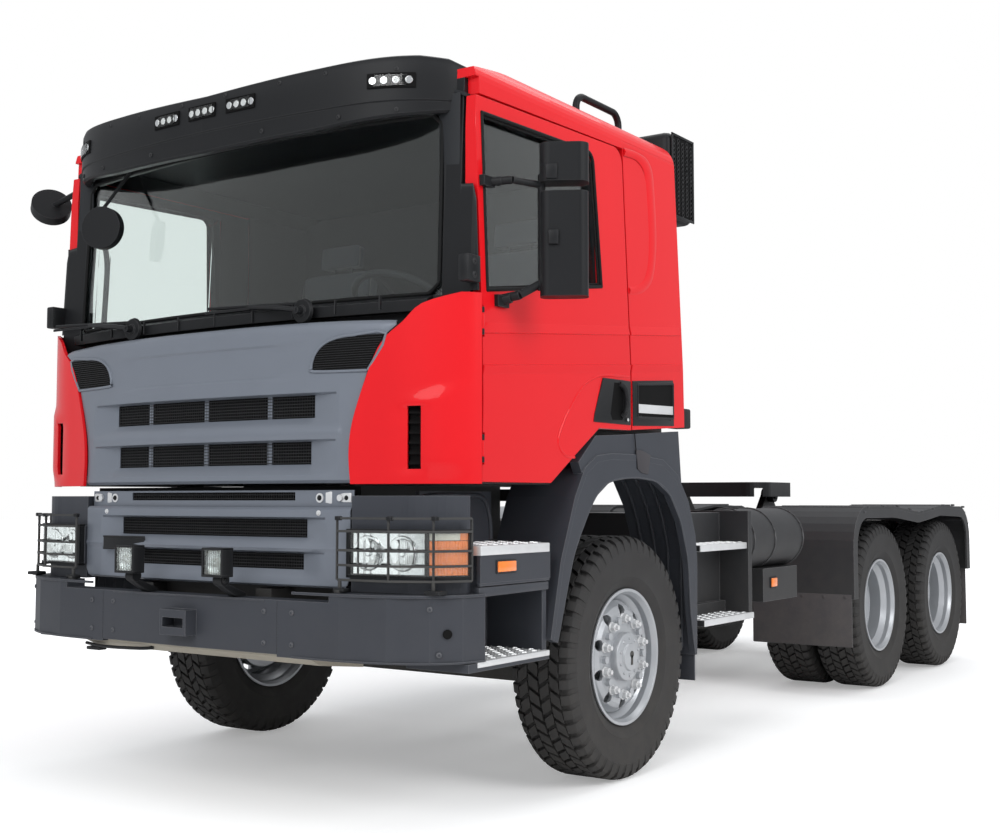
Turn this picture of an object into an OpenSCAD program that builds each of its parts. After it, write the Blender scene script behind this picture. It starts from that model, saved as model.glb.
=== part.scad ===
/* [Wheels and axles] */
// Outer radius of every tyre
tyre_r = 535; // [500:5:545]
// Width of one tyre
tyre_w = 300; // [270:5:310]
// Radius of the rim's bead seat
rim_r = 286; // [254:1:286]
// Distance from the front axle to the first drive axle
wheelbase = 3450; // [3350:10:4100]
// Distance between the two drive axles
bogie_spacing = 1350; // [1300:10:1400]
// Middle plane of a front tyre, from the vehicle's centre plane
front_tyre_x = 1068; // [1050:1:1085]
// Middle plane of an outer rear tyre, from the centre plane
rear_tyre_x = 1053; // [1040:1:1070]
// Distance between the middles of a pair of twin tyres
twin_spacing = 345; // [335:1:360]
// Distance of each kingpin from the centre plane
kingpin_x = 965; // [955:1:975]
// Radius of the kingpins
kingpin_r = 24; // [20:0.5:28]
// Radial running clearance of shafts and pins
running_gap = 0.05; // [0.02:0.01:0.1]

/* [Frame] */
// Width of the frame over its side rails
frame_w = 770; // [740:5:800]
// Height of a side rail
rail_h = 270; // [240:5:300]
// Height of the rails' top above the ground
frame_top = 1030; // [1000:5:1060]
// Width of a rail's flanges
rail_flange = 85; // [70:1:95]
// Wall of the side rails
rail_wall = 9; // [7:0.5:12]
// Rear end of the frame behind the last axle
rear_overhang = 540; // [500:10:580]

/* [Cab] */
// Widest half width of the cab
cab_half_w = 1236; // [1225:1:1245]
// Front face of the bumper, ahead of the front axle
bumper_front = 1500; // [1480:5:1540]
// Rear face of the cab, behind the front axle
cab_back = 500; // [470:5:540]
// Height of the roof's crown
cab_top = 3010; // [2960:10:3100]
// Thickness of the cab's walls and doors
cab_wall = 60; // [45:1:70]
// Thickness of the outer panels and the lid
skin = 30; // [20:1:36]
// Thickness of the glass
glass_t = 8; // [5:1:10]
// Rake of the windscreen in degrees
screen_rake = 3; // [0:0.5:5]
// Height of the cab's tilt axis
tilt_z = 1100; // [1080:5:1110]

/* [Fifth wheel] */
// Height of the plate's top above the ground
fifth_z = 1345; // [1320:5:1400]
// Distance of the coupling centre ahead of the middle of the drive axles
fifth_lead = 525; // [400:5:600]
// Radius of the bore that holds the trailer's kingpin
jaw_r = 25.5; // [25.4:0.1:26]

/* [Hidden] */
$fn = 64;

seat_gap = 0.3;                       // between pieces that rest on each other
mid_y = wheelbase;
last_y = wheelbase + bogie_spacing;
bogie_y = wheelbase + bogie_spacing / 2;
frame_back = last_y + rear_overhang;
frame_bottom = frame_top - rail_h;
rail_x = frame_w / 2;
lamp_front = bumper_front + 92;       // front of the work lamps
tail_back = last_y + 600;             // back of the twin mudguards
y_shift = (lamp_front - tail_back) / 2;

// ---- shapes ----
function arc(c, r, a0, a1, n = 12) =
    [for (i = [0:n]) let (a = a0 + (a1 - a0) * i / n) [c[0] + r * cos(a), c[1] + r * sin(a)]];

// a closed outline from its right half
function mirrored(half) = concat(half, [for (i = [len(half) - 1:-1:0]) [-half[i][0], half[i][1]]]);

module home() translate([0, y_shift, 0]) children();
module both() { children(); mirror([1, 0, 0]) children(); }

// a side-view outline (y, z) given a width from x0 to x1
module across(x0, x1) translate([x0, 0, 0]) rotate([90, 0, 90]) linear_extrude(x1 - x0) children();

// a front-view outline (x, z) given a length from y0 to y1
module along(y0, y1) translate([0, y1, 0]) rotate([90, 0, 0]) linear_extrude(y1 - y0) children();

// a plan outline (x, y) given a height from z0 to z1
module upright(z0, z1) translate([0, 0, z0]) linear_extrude(z1 - z0) children();

module block(a, b) translate(a) cube(b - a);
module shaft_x(x0, x1, y, z, r) translate([x0, y, z]) rotate([0, 90, 0]) cylinder(h = x1 - x0, r = r);
module shaft_y(y0, y1, x, z, r) translate([x, y0, z]) rotate([-90, 0, 0]) cylinder(h = y1 - y0, r = r);
module shaft_z(z0, z1, x, y, r) translate([x, y, z0]) cylinder(h = z1 - z0, r = r);

// a round bar between two points
module bar(p, q, r) {
    v = q - p;
    translate(p) rotate([0, acos(v[2] / norm(v)), atan2(v[1], v[0])]) cylinder(h = norm(v), r = r, $fn = 24);
}

module rounded(w, h, r) {
    polygon(concat(arc([w / 2 - r, h / 2 - r], r, 0, 90, 6), arc([-w / 2 + r, h / 2 - r], r, 90, 180, 6),
                   arc([-w / 2 + r, -h / 2 + r], r, 180, 270, 6), arc([w / 2 - r, -h / 2 + r],
                       r, 270, 360, 6)));
}

// ---- chassis ----
tow_y = -bumper_front - 22;            // front tow pin
tow_r = 19;
tow_z0 = 690;
tow_z1 = 792;
horn_top = 880;                       // top of the frame's front horns
seam_x = 506;                         // seams between the bumper's middle and its corners
seam = 0.6;
bumper_d = 95;
horn_y = -bumper_front + bumper_d + 12 * rail_x / seam_x + seat_gap;
front_cross_y = -1319.7;
trunnion_z = 600;
drawbeam_x = 160;                     // bolt spacing of the rear drawbeam plate
drawbeam_z = 100;
drawbeam_r = 10.5;
cab_pivot_x = 450;
cab_pivot_y = -1260;
cab_pivot_r = 20;
cab_pivot_w = 40;
cradle_y = 400;
cradle_x0 = 428;                       // the cradle's posts, outside the cab's tunnel
cradle_x1 = 498;

module rail() {
    difference() {
        block([rail_x - rail_flange, front_cross_y, frame_bottom], [rail_x, frame_back, frame_top]);
        block([rail_x - rail_flange - 1, front_cross_y - 1, frame_bottom + rail_wall],
              [rail_x - rail_wall, frame_back + 1, frame_top - rail_wall]);
    }
    block([rail_x - rail_flange, horn_y, frame_bottom], [rail_x, front_cross_y + 1, horn_top]);
}

module ladder_frame() color("#2e3033") {
    // cross-members: front face, length and underside; the second one clears the propeller shaft
    cross = [[front_cross_y, 110, frame_bottom + 20], [1420, 90, frame_bottom + 125],
        [2550, 90, frame_bottom + 20], [frame_back - 90, 90, frame_bottom + 20]];
    hanger_y = [-830, 790];
    difference() {
        union() {
            both() rail();
            for (c = cross) block([-rail_x + 1, c[0], c[2]], [rail_x - 1, c[0] + c[1], frame_top - 20]);
            // bogie trunnions with their brackets
            both() {
                shaft_x(rail_x - 2, spring_rear_x1 - 5, bogie_y, trunnion_z, 60);
                block([rail_x - 5, bogie_y - 160, trunnion_z - 40],
                    [rail_x + 12, bogie_y + 160, frame_bottom + 80]);
            }
            // spring hangers
            both() for (y = hanger_y)
                block([rail_x - 60, y, spring_eye_z - 40], [spring_front_x1, y + 60, frame_bottom + 60]);
            // brackets of the cab's tilt axis, with their pins
            both() {
                across(cab_pivot_x - cab_pivot_w - 25, cab_pivot_x - cab_pivot_w) polygon(concat(
                    arc([cab_pivot_y, tilt_z], 45, 0, 180), [[cab_pivot_y - 25, horn_top - 30],
                        [cab_pivot_y + 110, horn_top - 30]]));
                block([rail_x - 40, cab_pivot_y, horn_top - 30],
                    [cab_pivot_x - cab_pivot_w, cab_pivot_y + 70, horn_top + 40]);
                shaft_x(cab_pivot_x - cab_pivot_w - 10, cab_pivot_x + cab_pivot_w, cab_pivot_y, tilt_z,
                    cab_pivot_r);
            }
            // cradle that carries the cab's rear end
            both() {
                block([rail_x - 20, cradle_y - 35, frame_top - 60],
                    [cradle_x1, cradle_y + 35, frame_top + 40]);
                block([cradle_x0, cradle_y - 35, frame_top - 60],
                    [cradle_x1, cradle_y + 35, floor_back_z - seat_gap]);
            }
            block([-cradle_x0 - 1, cradle_y - 35, frame_top + 190],
                [cradle_x0 + 1, cradle_y + 35, frame_top + 250]);
        }
        for (sx = [-1, 1], sz = [-1, 1])
            shaft_y(frame_back - 91, frame_back + 1, sx * drawbeam_x / 2,
                    (frame_top + frame_bottom) / 2 + sz * drawbeam_z / 2, drawbeam_r);
    }
}

boss_r = 50;
boss_z0 = tyre_r - 55;
boss_z1 = tyre_r + 55;
lug_z0 = tyre_r - 100;
lug_z1 = tyre_r + 100;
beam_drop = 115;

module front_axle() color("#2e3033") {
    half = [[kingpin_x, boss_z0 + 5], [kingpin_x, boss_z1 - 5], [kingpin_x - 90, boss_z1 - 25],
            [kingpin_x - 260, tyre_r - 45], [0, tyre_r - 45]];
    low = [[0, tyre_r - beam_drop - 30], [kingpin_x - 290, tyre_r - beam_drop - 30],
        [kingpin_x - 110, tyre_r - 50]];
    both() {
        along(-45, 45) polygon(concat(half, low));
        shaft_z(boss_z0, boss_z1, kingpin_x, 0, boss_r);
        shaft_z(lug_z0 - 8, lug_z1 + 8, kingpin_x, 0, kingpin_r);
    }
}

spindle_r = 45;
hub_x0 = kingpin_x + 58;              // inner face of a front hub
hub_x1 = front_tyre_x + 118;

module knuckle() color("#3a3c40") {
    difference() {
        union() {
            shaft_z(lug_z0, boss_z0 - 1, kingpin_x, 0, 52);
            shaft_z(boss_z1 + 1, lug_z1, kingpin_x, 0, 52);
            block([kingpin_x + 15, -48, lug_z0], [hub_x0 - 2, 48, lug_z1]);
            // steering arm
            block([kingpin_x - 20, 20, lug_z0], [kingpin_x + 30, 220, lug_z0 + 30]);
            shaft_x(kingpin_x + boss_r + 3, hub_x1 - 32, 0, tyre_r, spindle_r);
        }
        shaft_z(lug_z0 - 1, lug_z1 + 1, kingpin_x, 0, kingpin_r + running_gap);
        shaft_z(boss_z0 - 1, boss_z1 + 1, kingpin_x, 0, boss_r + 1);
    }
}
module knuckle_left() knuckle();
module knuckle_right() mirror([1, 0, 0]) knuckle();

rear_spindle_r = 60;
rear_hub_x0 = rear_tyre_x - twin_spacing - 130;
rear_hub_x1 = rear_tyre_x + 15;

module drive_axle(y) {
    shaft_x(-rear_hub_x0 + 10, rear_hub_x0 - 10, y, tyre_r, 80);
    shaft_x(-rear_hub_x1 + 30, rear_hub_x1 - 30, y, tyre_r, rear_spindle_r);
    shaft_y(y - 250, y + 190, 0, tyre_r, 205);
    shaft_y(y - 400, y - 249, 0, tyre_r + 30, 90);
}
module drive_axles() color("#2e3033") for (y = [mid_y, last_y]) drive_axle(y);

spring_front_x0 = rail_x + 18;
spring_front_x1 = rail_x + 103;
spring_rear_x0 = rail_x + 18;
spring_rear_x1 = rear_tyre_x - twin_spacing - tyre_w / 2 - 48;   // clear of the inner tyre
spring_eye_z = 705;

module leaf_springs() color("#3a3c40") {
    front_low = tyre_r - 45 + seat_gap;
    rear_low = tyre_r + 80 + seat_gap;
    both() {
        across(spring_front_x0, spring_front_x1) polygon([
            [-830, spring_eye_z - 65], [-400, front_low + 45], [-90, front_low], [90, front_low],
                [400, front_low + 45],
            [850, spring_eye_z - 65], [850, spring_eye_z - 40.3], [400, front_low + 100],
                [90, front_low + 70],
            [-90, front_low + 70], [-400, front_low + 100], [-830, spring_eye_z - 40.3]]);
        across(spring_rear_x0, spring_rear_x1) polygon([
            [mid_y - 70, rear_low], [mid_y + 70, rear_low], [bogie_y - 90, trunnion_z + 60 + seat_gap],
            [bogie_y + 90, trunnion_z + 60 + seat_gap], [last_y - 70, rear_low], [last_y + 70, rear_low],
            [last_y + 70, rear_low + 25], [bogie_y + 90, trunnion_z + 170], [bogie_y - 90, trunnion_z + 170],
            [mid_y - 70, rear_low + 25]]);
    }
}

gearbox_back = 1290;
module propshafts() color("#3a3c40") {
    z0 = tyre_r + 30;
    z1 = 830;
    r = 55;
    d = seat_gap + r * sin(atan((z1 - z0) / (mid_y - 400 - gearbox_back)));
    bar([0, gearbox_back + d, z1], [0, mid_y - 400 - d, z0], r);
    bar([0, mid_y + 190 + seat_gap, z0], [0, last_y - 400 - seat_gap, z0], 50);
}

module engine() color("#4a4c50") {
    block([-280, -900, 640], [280, 340, 1470]);
    block([-190, 339, 700], [190, gearbox_back, 1120]);
    // mounts that stand inside the rails
    both() for (y = [-500, 150])
        block([279, y, frame_bottom + rail_wall + seat_gap],
              [rail_x - rail_wall - seat_gap, y + 90, frame_bottom + 70]);
}

bumper_z0 = 642;
bumper_z1 = 848;
bumper_corner_z0 = 633;
bumper_corner_z1 = 882;

// front edge of the bumper in plan, from the middle to the side
function bumper_line(d = 0) = [
    [0, -bumper_front + d], [seam_x, -bumper_front + 12 + d], [806, -bumper_front + 22 + d],
    [1000 - d / 4, -bumper_front + 62 + d * 0.9], [1140 - d / 2, -bumper_front + 140 + d * 0.8],
    [1220 - d * 0.9, -bumper_front + 235 + d * 0.5], [1245 - d, -bumper_front + 340]];

module bumper() color("#3b3f45") {
    line = concat(bumper_line(), [for (i = [6:-1:0]) bumper_line(bumper_d)[i]]);
    back = concat([[1245 - bumper_d, horn_y + 60]], [[0, horn_y - seat_gap]]);
    difference() {
        union() {
            intersection() {
                both() upright(bumper_z0, bumper_z1) polygon(line);
                block([-seam_x, -bumper_front - 1, 0], [seam_x, 0, 2000]);
            }
            block([-75, tow_y - 34, tow_z0], [75, -bumper_front + 5, tow_z1]);
        }
        shaft_z(tow_z0 - 1, tow_z1 + 1, 0, tow_y, tow_r);
        block([-60, tow_y - 35, tow_z0 + 32], [60, tow_y + 30, tow_z1 - 32]);
    }
    both() difference() {
        union() {
            upright(bumper_corner_z0, bumper_z1) polygon(line);
            upright(bumper_z1 - 1, bumper_corner_z1) polygon(line);
        }
        block([-1, -bumper_front - 1, 0], [seam_x + seam, 0, 2000]);
        block([-1, -bumper_front - 1, bumper_z1], [760, 0, 2000]);
    }
}

module undershield() color("#b9b3a6") difference() {
    across(-650, 650) polygon([[-bumper_front + 40, bumper_z0 - 12],
        [-bumper_front + 40, bumper_z0 - seat_gap],
        [-bumper_front + 80, bumper_z0 - seat_gap], [-1150, 585], [-1150, 570], [-1400, 600]]);
    both() block([seam_x - 1, -bumper_front, bumper_corner_z0 - seat_gap], [651, -1100, bumper_z0 + 10]);
}

lamp_bottom = bumper_corner_z1 + seat_gap;
lamp_top = 1244;
lamp_x0 = 772;
lens_z0 = 946;
lens_z1 = 1112;

// front edge of a lamp in plan, from its inner to its outer end
function lamp_line(d = 0) = concat(
    [[lamp_x0, -1381 + d], [900, -1363 + d]], arc([1000, -1140], 212 - d, -92, -17, 9));

module headlamps() color("#23262a") both() {
    y1 = step_front - seat_gap;
    upright(lamp_bottom, lamp_top) polygon(concat(lamp_line(14), [[1190, y1], [lamp_x0, y1]]));
    upright(lens_z0, lens_z1) polygon(concat(lamp_line(), [[1190, y1 - 5], [lamp_x0 + 2, y1 - 5]]));
}

guard_t = 9;
guard_line = [[765, -1440], [1000, -1425], [1150, -1350], [1232, -1225]];
module headlamp_guards() color("#1b1c1e") both() {
    strip = concat(guard_line, [for (i = [len(guard_line) - 1:-1:0]) guard_line[i] + [-guard_t * 0.6,
        guard_t]]);
    levels = [lens_z0 - 15, lens_z0 + 40, (lens_z0 + lens_z1) / 2 + 12, lens_z1, lens_z1 + 48];
    for (z = levels) upright(z - guard_t / 2, z + guard_t / 2) polygon(strip);
    for (p = guard_line) translate(p) upright(levels[0], levels[4]) polygon([[-9, 2], [-1, 1], [-2, 9],
        [-10, 9]]);
    // feet on the bumper
    for (p = [[775, -1436], [1146, -1347]]) {
        shaft_z(lamp_bottom + 5, levels[0], p[0], p[1], 7);
        shaft_z(lamp_bottom, lamp_bottom + 12, p[0], p[1], 20);
    }
}

module work_lamps() color("#1b1c1e") both() {
    x = 256;
    block([x - 57, -lamp_front, 930], [x + 57, -lamp_front + 62, 1043]);
    block([x - 14, -lamp_front + 40, 880], [x + 14, -lamp_front + 80, 960]);
    across(x - 22, x + 22) polygon([[-lamp_front + 50, 900], [-lamp_front + 80, 900],
        [-bumper_front + 75, bumper_z1 + 14], [-bumper_front + 75, bumper_z1 + seat_gap],
        [-bumper_front + 22, bumper_z1 + seat_gap]]);
}

// front edge of the grille in plan
function grille_line(d = 0, n = 9) = [for (i = [-n:n]) let (x = i * 770 / n) [x,
    -1425 + d + 38 * pow(x / 770, 2)]];

module plan_strip(d0, d1, z0, z1) upright(z0, z1)
    polygon(concat(grille_line(d0), [for (i = [18:-1:0]) grille_line(d1)[i]]));

module lower_grille() color("#7a808a") {
    difference() {
        union() {
            difference() {
                plan_strip(15, 75, 892, 1201);
                both() along(-1500, -1200) polygon([[770, 1202], [771, 880], [680, 880], [680, 892],
                    [735, 960]]);
            }
            plan_strip(45, 75, 1190, 1268);
        }
        both() {
            block([-1, -1500, 1082], [540, -1366, 1153]);
            block([-1, -1500, 958], [524, -1366, 1020]);
            block([-1, -1500, 1226], [478, -1340 - 20, 1258]);
        }
    }
    // back plate that carries the grille on the frame
    block([-lamp_x0 + seat_gap, -1345, 900], [lamp_x0 - seat_gap, front_cross_y - seat_gap, 1260]);
}

step_x1 = 1238;
step_x0 = 950;
step_front = -1180;
step_back = -700;
module entry_steps() color("#3b3f45") both() {
    block([step_x0 - 20, step_front, 600], [step_x0, step_back - seat_gap, 1262]);
    block([step_x0 - 1, step_front, 1025], [step_x1, step_back - seat_gap, 1056]);
    block([step_x1 - 18, step_front, 918], [step_x1, step_back - seat_gap, 1026]);
    block([step_x0 - 1, step_back - 30, 600], [step_x1 - 20, step_back - seat_gap, 1056]);
    block([step_x0 - 1, -1255, 598], [step_x1, step_back - 10, 630]);
    block([rail_x + seat_gap, -980, 830], [step_x0 - 19, -930, 890]);
}

fender_x0 = 900;
fender_x1 = 1240;
module front_fenders() color("#3b3f45") both() {
    outer = [[step_back + 1, 674], [-620, 985], [-510, 1240], [-430, 1360], [-330, 1415], [-200, 1428],
        [34, 1429],
             [274, 1412], [420, 1345], [530, 1220], [600, 1060], [618, 940], [608, 489]];
    lining = [[588, 489], [590, 940], [570, 1050], [500, 1200], [400, 1320], [264, 1386], [34, 1403],
              [-200, 1402], [-320, 1388], [-410, 1340], [-490, 1225], [-598, 975], [-675, 664]];
    lip = [[590, 489], [548, 700], [521, 943], [450, 1120], [340, 1250], [200, 1312], [-14, 1326],
           [-220, 1305], [-340, 1240], [-440, 1120], [-527, 983], [-645, 655]];
    across(fender_x0, fender_x1) polygon(concat(outer, lining));
    across(fender_x1 - 32, fender_x1 - 0.5) polygon(concat([for (p = outer) p + [0, -0.5]], lip));
    // panel between the arch and the cab
    across(fender_x1 - 50, fender_x1 - 6) polygon([[-440, 1330], [-472, 1385], [-330, 1500], [-60, 1516],
        [440, 1550], [474, 1250], [274, 1395], [34, 1410], [-330, 1400]]);
    // bracket and rear flap
    block([rail_x + seat_gap, 592, 930], [fender_x0 + 1, 616, 985]);
    block([fender_x0 + 10, 596, 366], [fender_x1 - 10, 606, 500]);
}

box_y0 = 676;
box_y1 = 1290;
module battery_box() color("#33363b") {
    block([rail_x + 140, box_y0, 640], [1060, box_y1 - 40, 1160]);
    block([rail_x + seat_gap, 880, 800], [rail_x + 141, 1150, 900]);
    block([rail_x + 200, box_y1 - 41, 640], [1225, box_y1, 1169]);
    block([1059, box_y0, 640], [1090, box_y1 - 1, 700]);
    block([1059, box_y0 + 20, 975], [1215, box_y1 - 40, 1003]);
    block([1059, box_y0 + 20, 612], [1235, box_y1, 641]);
}

tank_r = 165;
tank_x = 1020;
tank_z = 1012;
module air_tanks() color("#33363b") {
    translate([tank_x, box_y1 + 30, tank_z]) rotate([-90, 0, 0])
        rotate_extrude() polygon([[0, 0], [110, 12], [tank_r, 60], [tank_r, 800], [110, 850], [0, 862]]);
    block([rail_x + seat_gap, 1500, 930], [tank_x - 140, 1560, 1000]);
    block([rail_x + seat_gap, 2000, 930], [tank_x - 140, 2060, 1000]);
    block([tank_x - 170, 1500, 845], [tank_x + 60, 1560, 900]);
    block([tank_x - 200, 1610, 669], [1150, 2090, 850]);
}

module fuel_tank() color("#9ea2a6") mirror([1, 0, 0]) {
    x0 = rail_x + 100;
    translate([(x0 + 1215) / 2, 0, 900]) along(1000, 2200) rounded(1215 - x0, 560, 90);
    for (y = [1150, 1950]) block([rail_x + seat_gap, y, 800], [x0 + 1, y + 70, 1000]);
    shaft_z(1175, 1215, 1010, 1300, 55);
}

module silencer() color("#8b8d90") mirror([1, 0, 0]) {
    block([rail_x + 112, box_y0 + 40, 640], [1190, 960, 1130]);
    block([rail_x + seat_gap, 870, 820], [rail_x + 113, 940, 900]);
}

mud_x0 = 560;
mud_x1 = 1238;
mud_t = 20;
mud_front = mid_y - 655;

// side outline of the twin mudguards, taken in by d
function mud_line(d) = concat(
    [[mud_front + d, 612], [mud_front + d, 930]], arc([mid_y - 400, 930], 255 - d, 170, 95, 6),
    [[mid_y + 150, 1182 - d], [bogie_y, 1140 - d], [last_y - 150, 1184 - d]],
    arc([tail_back - 250, 920], 250 - d, 85, 0, 6), [[tail_back - d, 690]]);

module rear_mudguards() color("#2f3236") both() {
    across(mud_x0, mud_x1) polygon(concat(mud_line(0),
        [for (i = [len(mud_line(0)) - 1:-1:0]) mud_line(mud_t)[i]]));
    // deep lip on the outside
    across(mud_x1 - 15, mud_x1 - 0.5) polygon(concat(mud_line(3),
        [for (i = [len(mud_line(0)) - 1:-1:0]) mud_line(75)[i]]));
    // flaps
    block([mud_x0 + 10, mud_front + 4, 316], [mud_x1 - 20, mud_front + 16, 640]);
    block([mud_x0 + 10, last_y + 582, 263], [mud_x1 - 35, last_y + 596, 720]);
    // stays on the frame
    for (p = [[mud_front + 30, 900], [bogie_y, 1106], [frame_back - 28, 1075]]) {
        block([rail_x + seat_gap, p[0] - 25, frame_bottom + 90], [rail_x + 60, p[0] + 25, p[1] + 15]);
        shaft_x(rail_x + 50, mud_x1 - 40, p[0], p[1], 15);
    }
}

fifth_y = bogie_y - fifth_lead;
pin_z = fifth_z - 85;
pin_r = 30;
ped_x0 = 300;
ped_x1 = 345;
module fifth_wheel_base() color("#2a2c2f") {
    block([-rail_x - 40, fifth_y - 330, frame_top + seat_gap], [rail_x + 40, fifth_y + 330, frame_top + 22]);
    both() {
        across(ped_x0, ped_x1) polygon(concat([[fifth_y + 230, frame_top + 20]],
            arc([fifth_y, pin_z], 42, 0, 180), [[fifth_y - 230, frame_top + 20]]));
        shaft_x(ped_x0 - 5, ped_x1 + 55, fifth_y, pin_z, pin_r);
    }
}

module fifth_wheel() color("#26282a") {
    half_w = 455;
    plan = concat([[0, -380]], arc([half_w - 150, -230], 150, -90, 0, 8), [[half_w, 120], [250, 455],
        [120, 455], [70, 120], [0, 120]]);
    translate([0, fifth_y, 0]) difference() {
        union() {
            both() {
                upright(fifth_z - 36, fifth_z) polygon(plan);
                // skirt along the edge
                difference() {
                    upright(fifth_z - 100, fifth_z - 35) intersection() {
                        polygon(plan);
                        polygon([[0, -400], [500, -400], [500, 130], [0, 130]]);
                    }
                    block([-1, -355, fifth_z - 101], [half_w - 25, 131, fifth_z - 36]);
                }
                // lugs on the base's pins
                difference() {
                    across(ped_x1 + 5, ped_x1 + 45) polygon(concat([[52, fifth_z - 35]],
                        [[-52, fifth_z - 35]],
                        arc([0, pin_z], 52, 180, 360)));
                    shaft_x(0, 600, 0, pin_z, pin_r + running_gap);
                }
            }
            shaft_z(fifth_z - 60, fifth_z - 1, 0, 0, 95);
        }
        shaft_z(fifth_z - 101, fifth_z + 1, 0, 0, jaw_r);
    }
}

module tail_lamps() color("#7d1414") {
    z = 800;
    both() block([rail_x + 10, frame_back + seat_gap, z], [rail_x + 170, frame_back + 38, z + 130]);
    block([-rail_x - 160, frame_back + seat_gap, z - 25], [rail_x + 160, frame_back + 25, z + 10]);
}

// ---- cab ----
floor_front_z = 1290;
floor_back_z = 1530;
floor_t = 60;
toe_y = -1130;                        // the floor rises ahead of this to clear the frame's front end
toe_z = 1335;
tunnel_x = 420;
tunnel_z = 1690;
side_back_z = 1571;
screen_z0 = 2008;
screen_z1 = 2728;
screen_r = 5400;
screen_y = -1301;
screen_half = cab_half_w - 170;
corner_r = 40;
corner_y = 107;                       // the corner's set-back behind the screen's middle
door_y0 = -1160;
door_y1 = -22;
panel_gap = 12;
flank_y = door_y0 - panel_gap;        // rear edge of the corner panels and pillars
hinge_x = cab_half_w - 6;
hinge_r = 9;
hinge_z = [1420, 1900];
hinge_h = 60;
inner_x = cab_half_w - 85;            // inner face of the doors
flank_x = cab_half_w - 40;            // the front frame's half width behind the corner panels
corner_z1 = 2010;                     // top of the corner panels
roof_edge_z = 2850;

// the cab's cross-section, taken in by d
function section(d) = mirrored(concat(
    [[cab_half_w - 8 - d, 1200], [cab_half_w - d, 1600], [cab_half_w - 4 - d, 1850],
     [cab_half_w - 16 - d, 2150], [cab_half_w - 38 - d, 2700]],
    arc([cab_half_w - 168, cab_top - 180], 125 - d, 4, 75, 8),
    [[cab_half_w - 420, cab_top - 28 - d]]));

// cab's plan as seen square to the windscreen, taken in by d
function cab_plan(d) = let (a = asin(screen_half / screen_r), e = max(0, d - corner_r + 4),
        c = [cab_half_w - corner_r - e, corner_y + corner_r + e], r = corner_r - d + e) concat(
    arc([0, screen_r], screen_r - d, 270 - a, 270 + a, 20), arc(c, r, 270, 360, 4),
    [[c[0] + r, 3500], [-c[0] - r, 3500]], arc([-c[0], c[1]], r, 180, 270, 4));

// solid outline of the cab, taken in by d
module cab_block(d) intersection() {
    along(-1600, cab_back - d) polygon(section(d));
    translate([0, screen_y, screen_z0]) rotate([-screen_rake, 0, 0]) upright(-1200,
        1400) polygon(cab_plan(d));
    across(-1500, 1500) polygon([[-1600, 1200], [-1600, 2760], [-1190 + d, cab_top - 130],
        [-600, cab_top - 30 - d],
        [100, cab_top + 5 - d], [cab_back - 60, cab_top - 20 - d], [cab_back - d, cab_top - 90],
            [cab_back - d, 1200]]);
}

module cab_shell(d = cab_wall) difference() { cab_block(0); cab_block(d); }

// side view of a door
door_outline = concat([[door_y0, 1296], [-680, 1296], [-483, 1421], [-301, 1533], [door_y1, 1536]],
    arc([door_y1 - 70, 2736], 70, 0, 90, 6), [[door_y0, 2772]]);
// side view of a door's window
window_outline = concat([[-1122, 2020], [-250, 2148]], arc([-330, 2685], 50, 0, 90, 4), [[-1122, 2712]]);

module screen_opening(d = 0) along(-1600, -1100) polygon([[-screen_half + d, screen_z0 + d],
    [screen_half - d, screen_z0 + d], [screen_half - 10 - d, screen_z1 - d],
        [-screen_half + 10 + d, screen_z1 - d]]);

module cab_floor() color("#4a4c50") {
    back = cab_back - cab_wall;
    floor_line = [[-1400, toe_z], [-1160, toe_z], [toe_y + 10, floor_front_z], [-560, floor_front_z],
        [-440, floor_back_z], [back, floor_back_z], [back, floor_back_z + floor_t],
            [-480, floor_back_z + floor_t],
        [-590, floor_front_z + floor_t], [-1080, floor_front_z + floor_t], [toe_y, toe_z + floor_t],
        [-1400, toe_z + floor_t]];
    intersection() {
        cab_block(cab_wall + seat_gap);
        union() {
            both() across(tunnel_x, inner_x - 6) polygon(floor_line);
            difference() {
                block([-tunnel_x - 1, -1400, floor_front_z], [tunnel_x + 1, back, tunnel_z]);
                block([-tunnel_x + 50, -1401, floor_front_z - 1], [tunnel_x - 50, back + 1, tunnel_z - 50]);
                block([-tunnel_x - 2, -1401, floor_front_z - 1], [tunnel_x + 2, toe_y, toe_z]);
            }
        }
    }
    // arms down to the tilt axis
    both() difference() {
        across(cab_pivot_x - cab_pivot_w + 8, cab_pivot_x + cab_pivot_w - 8) polygon(concat(
            [[cab_pivot_y + 260, floor_front_z + 8], [cab_pivot_y + 150, floor_front_z + 8],
             [cab_pivot_y + 150, tilt_z + 150]], arc([cab_pivot_y, tilt_z], 46, 90, 330)));
        shaft_x(0, 1000, cab_pivot_y, tilt_z, cab_pivot_r + running_gap);
    }
}

module cab_back_wall() color("#c8102e") intersection() {
    cab_block(0);
    block([-inner_x, cab_back - cab_wall, side_back_z], [inner_x, cab_back, roof_edge_z - seat_gap]);
}

module cab_sides() color("#c8102e") both() difference() {
    intersection() {
        cab_shell(85);
        block([inner_x, door_y1 + 10, 1200], [1400, cab_back + 1, roof_edge_z - seat_gap]);
        across(0, 1400) polygon([[door_y1 + 10, floor_back_z + 8], [cab_back + 1, side_back_z],
            [cab_back + 1, 2900],
            [door_y1 + 10, 2900]]);
    }
}

module cab_roof() color("#c8102e") {
    intersection() {
        cab_shell();
        block([-1400, -1400, roof_edge_z], [1400, cab_back + 1, 3200]);
    }
    // rails over the doors
    both() intersection() {
        cab_block(0);
        difference() {
            block([inner_x - 10, -1130, 2700], [1400, door_y1 + 9.7, roof_edge_z + 1]);
            across(0, 1500) polygon([[-1200, 2600], [door_y1 + 20, 2600], [door_y1 + 20, 2815],
                [-1200, 2781]]);
        }
    }
}

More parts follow.
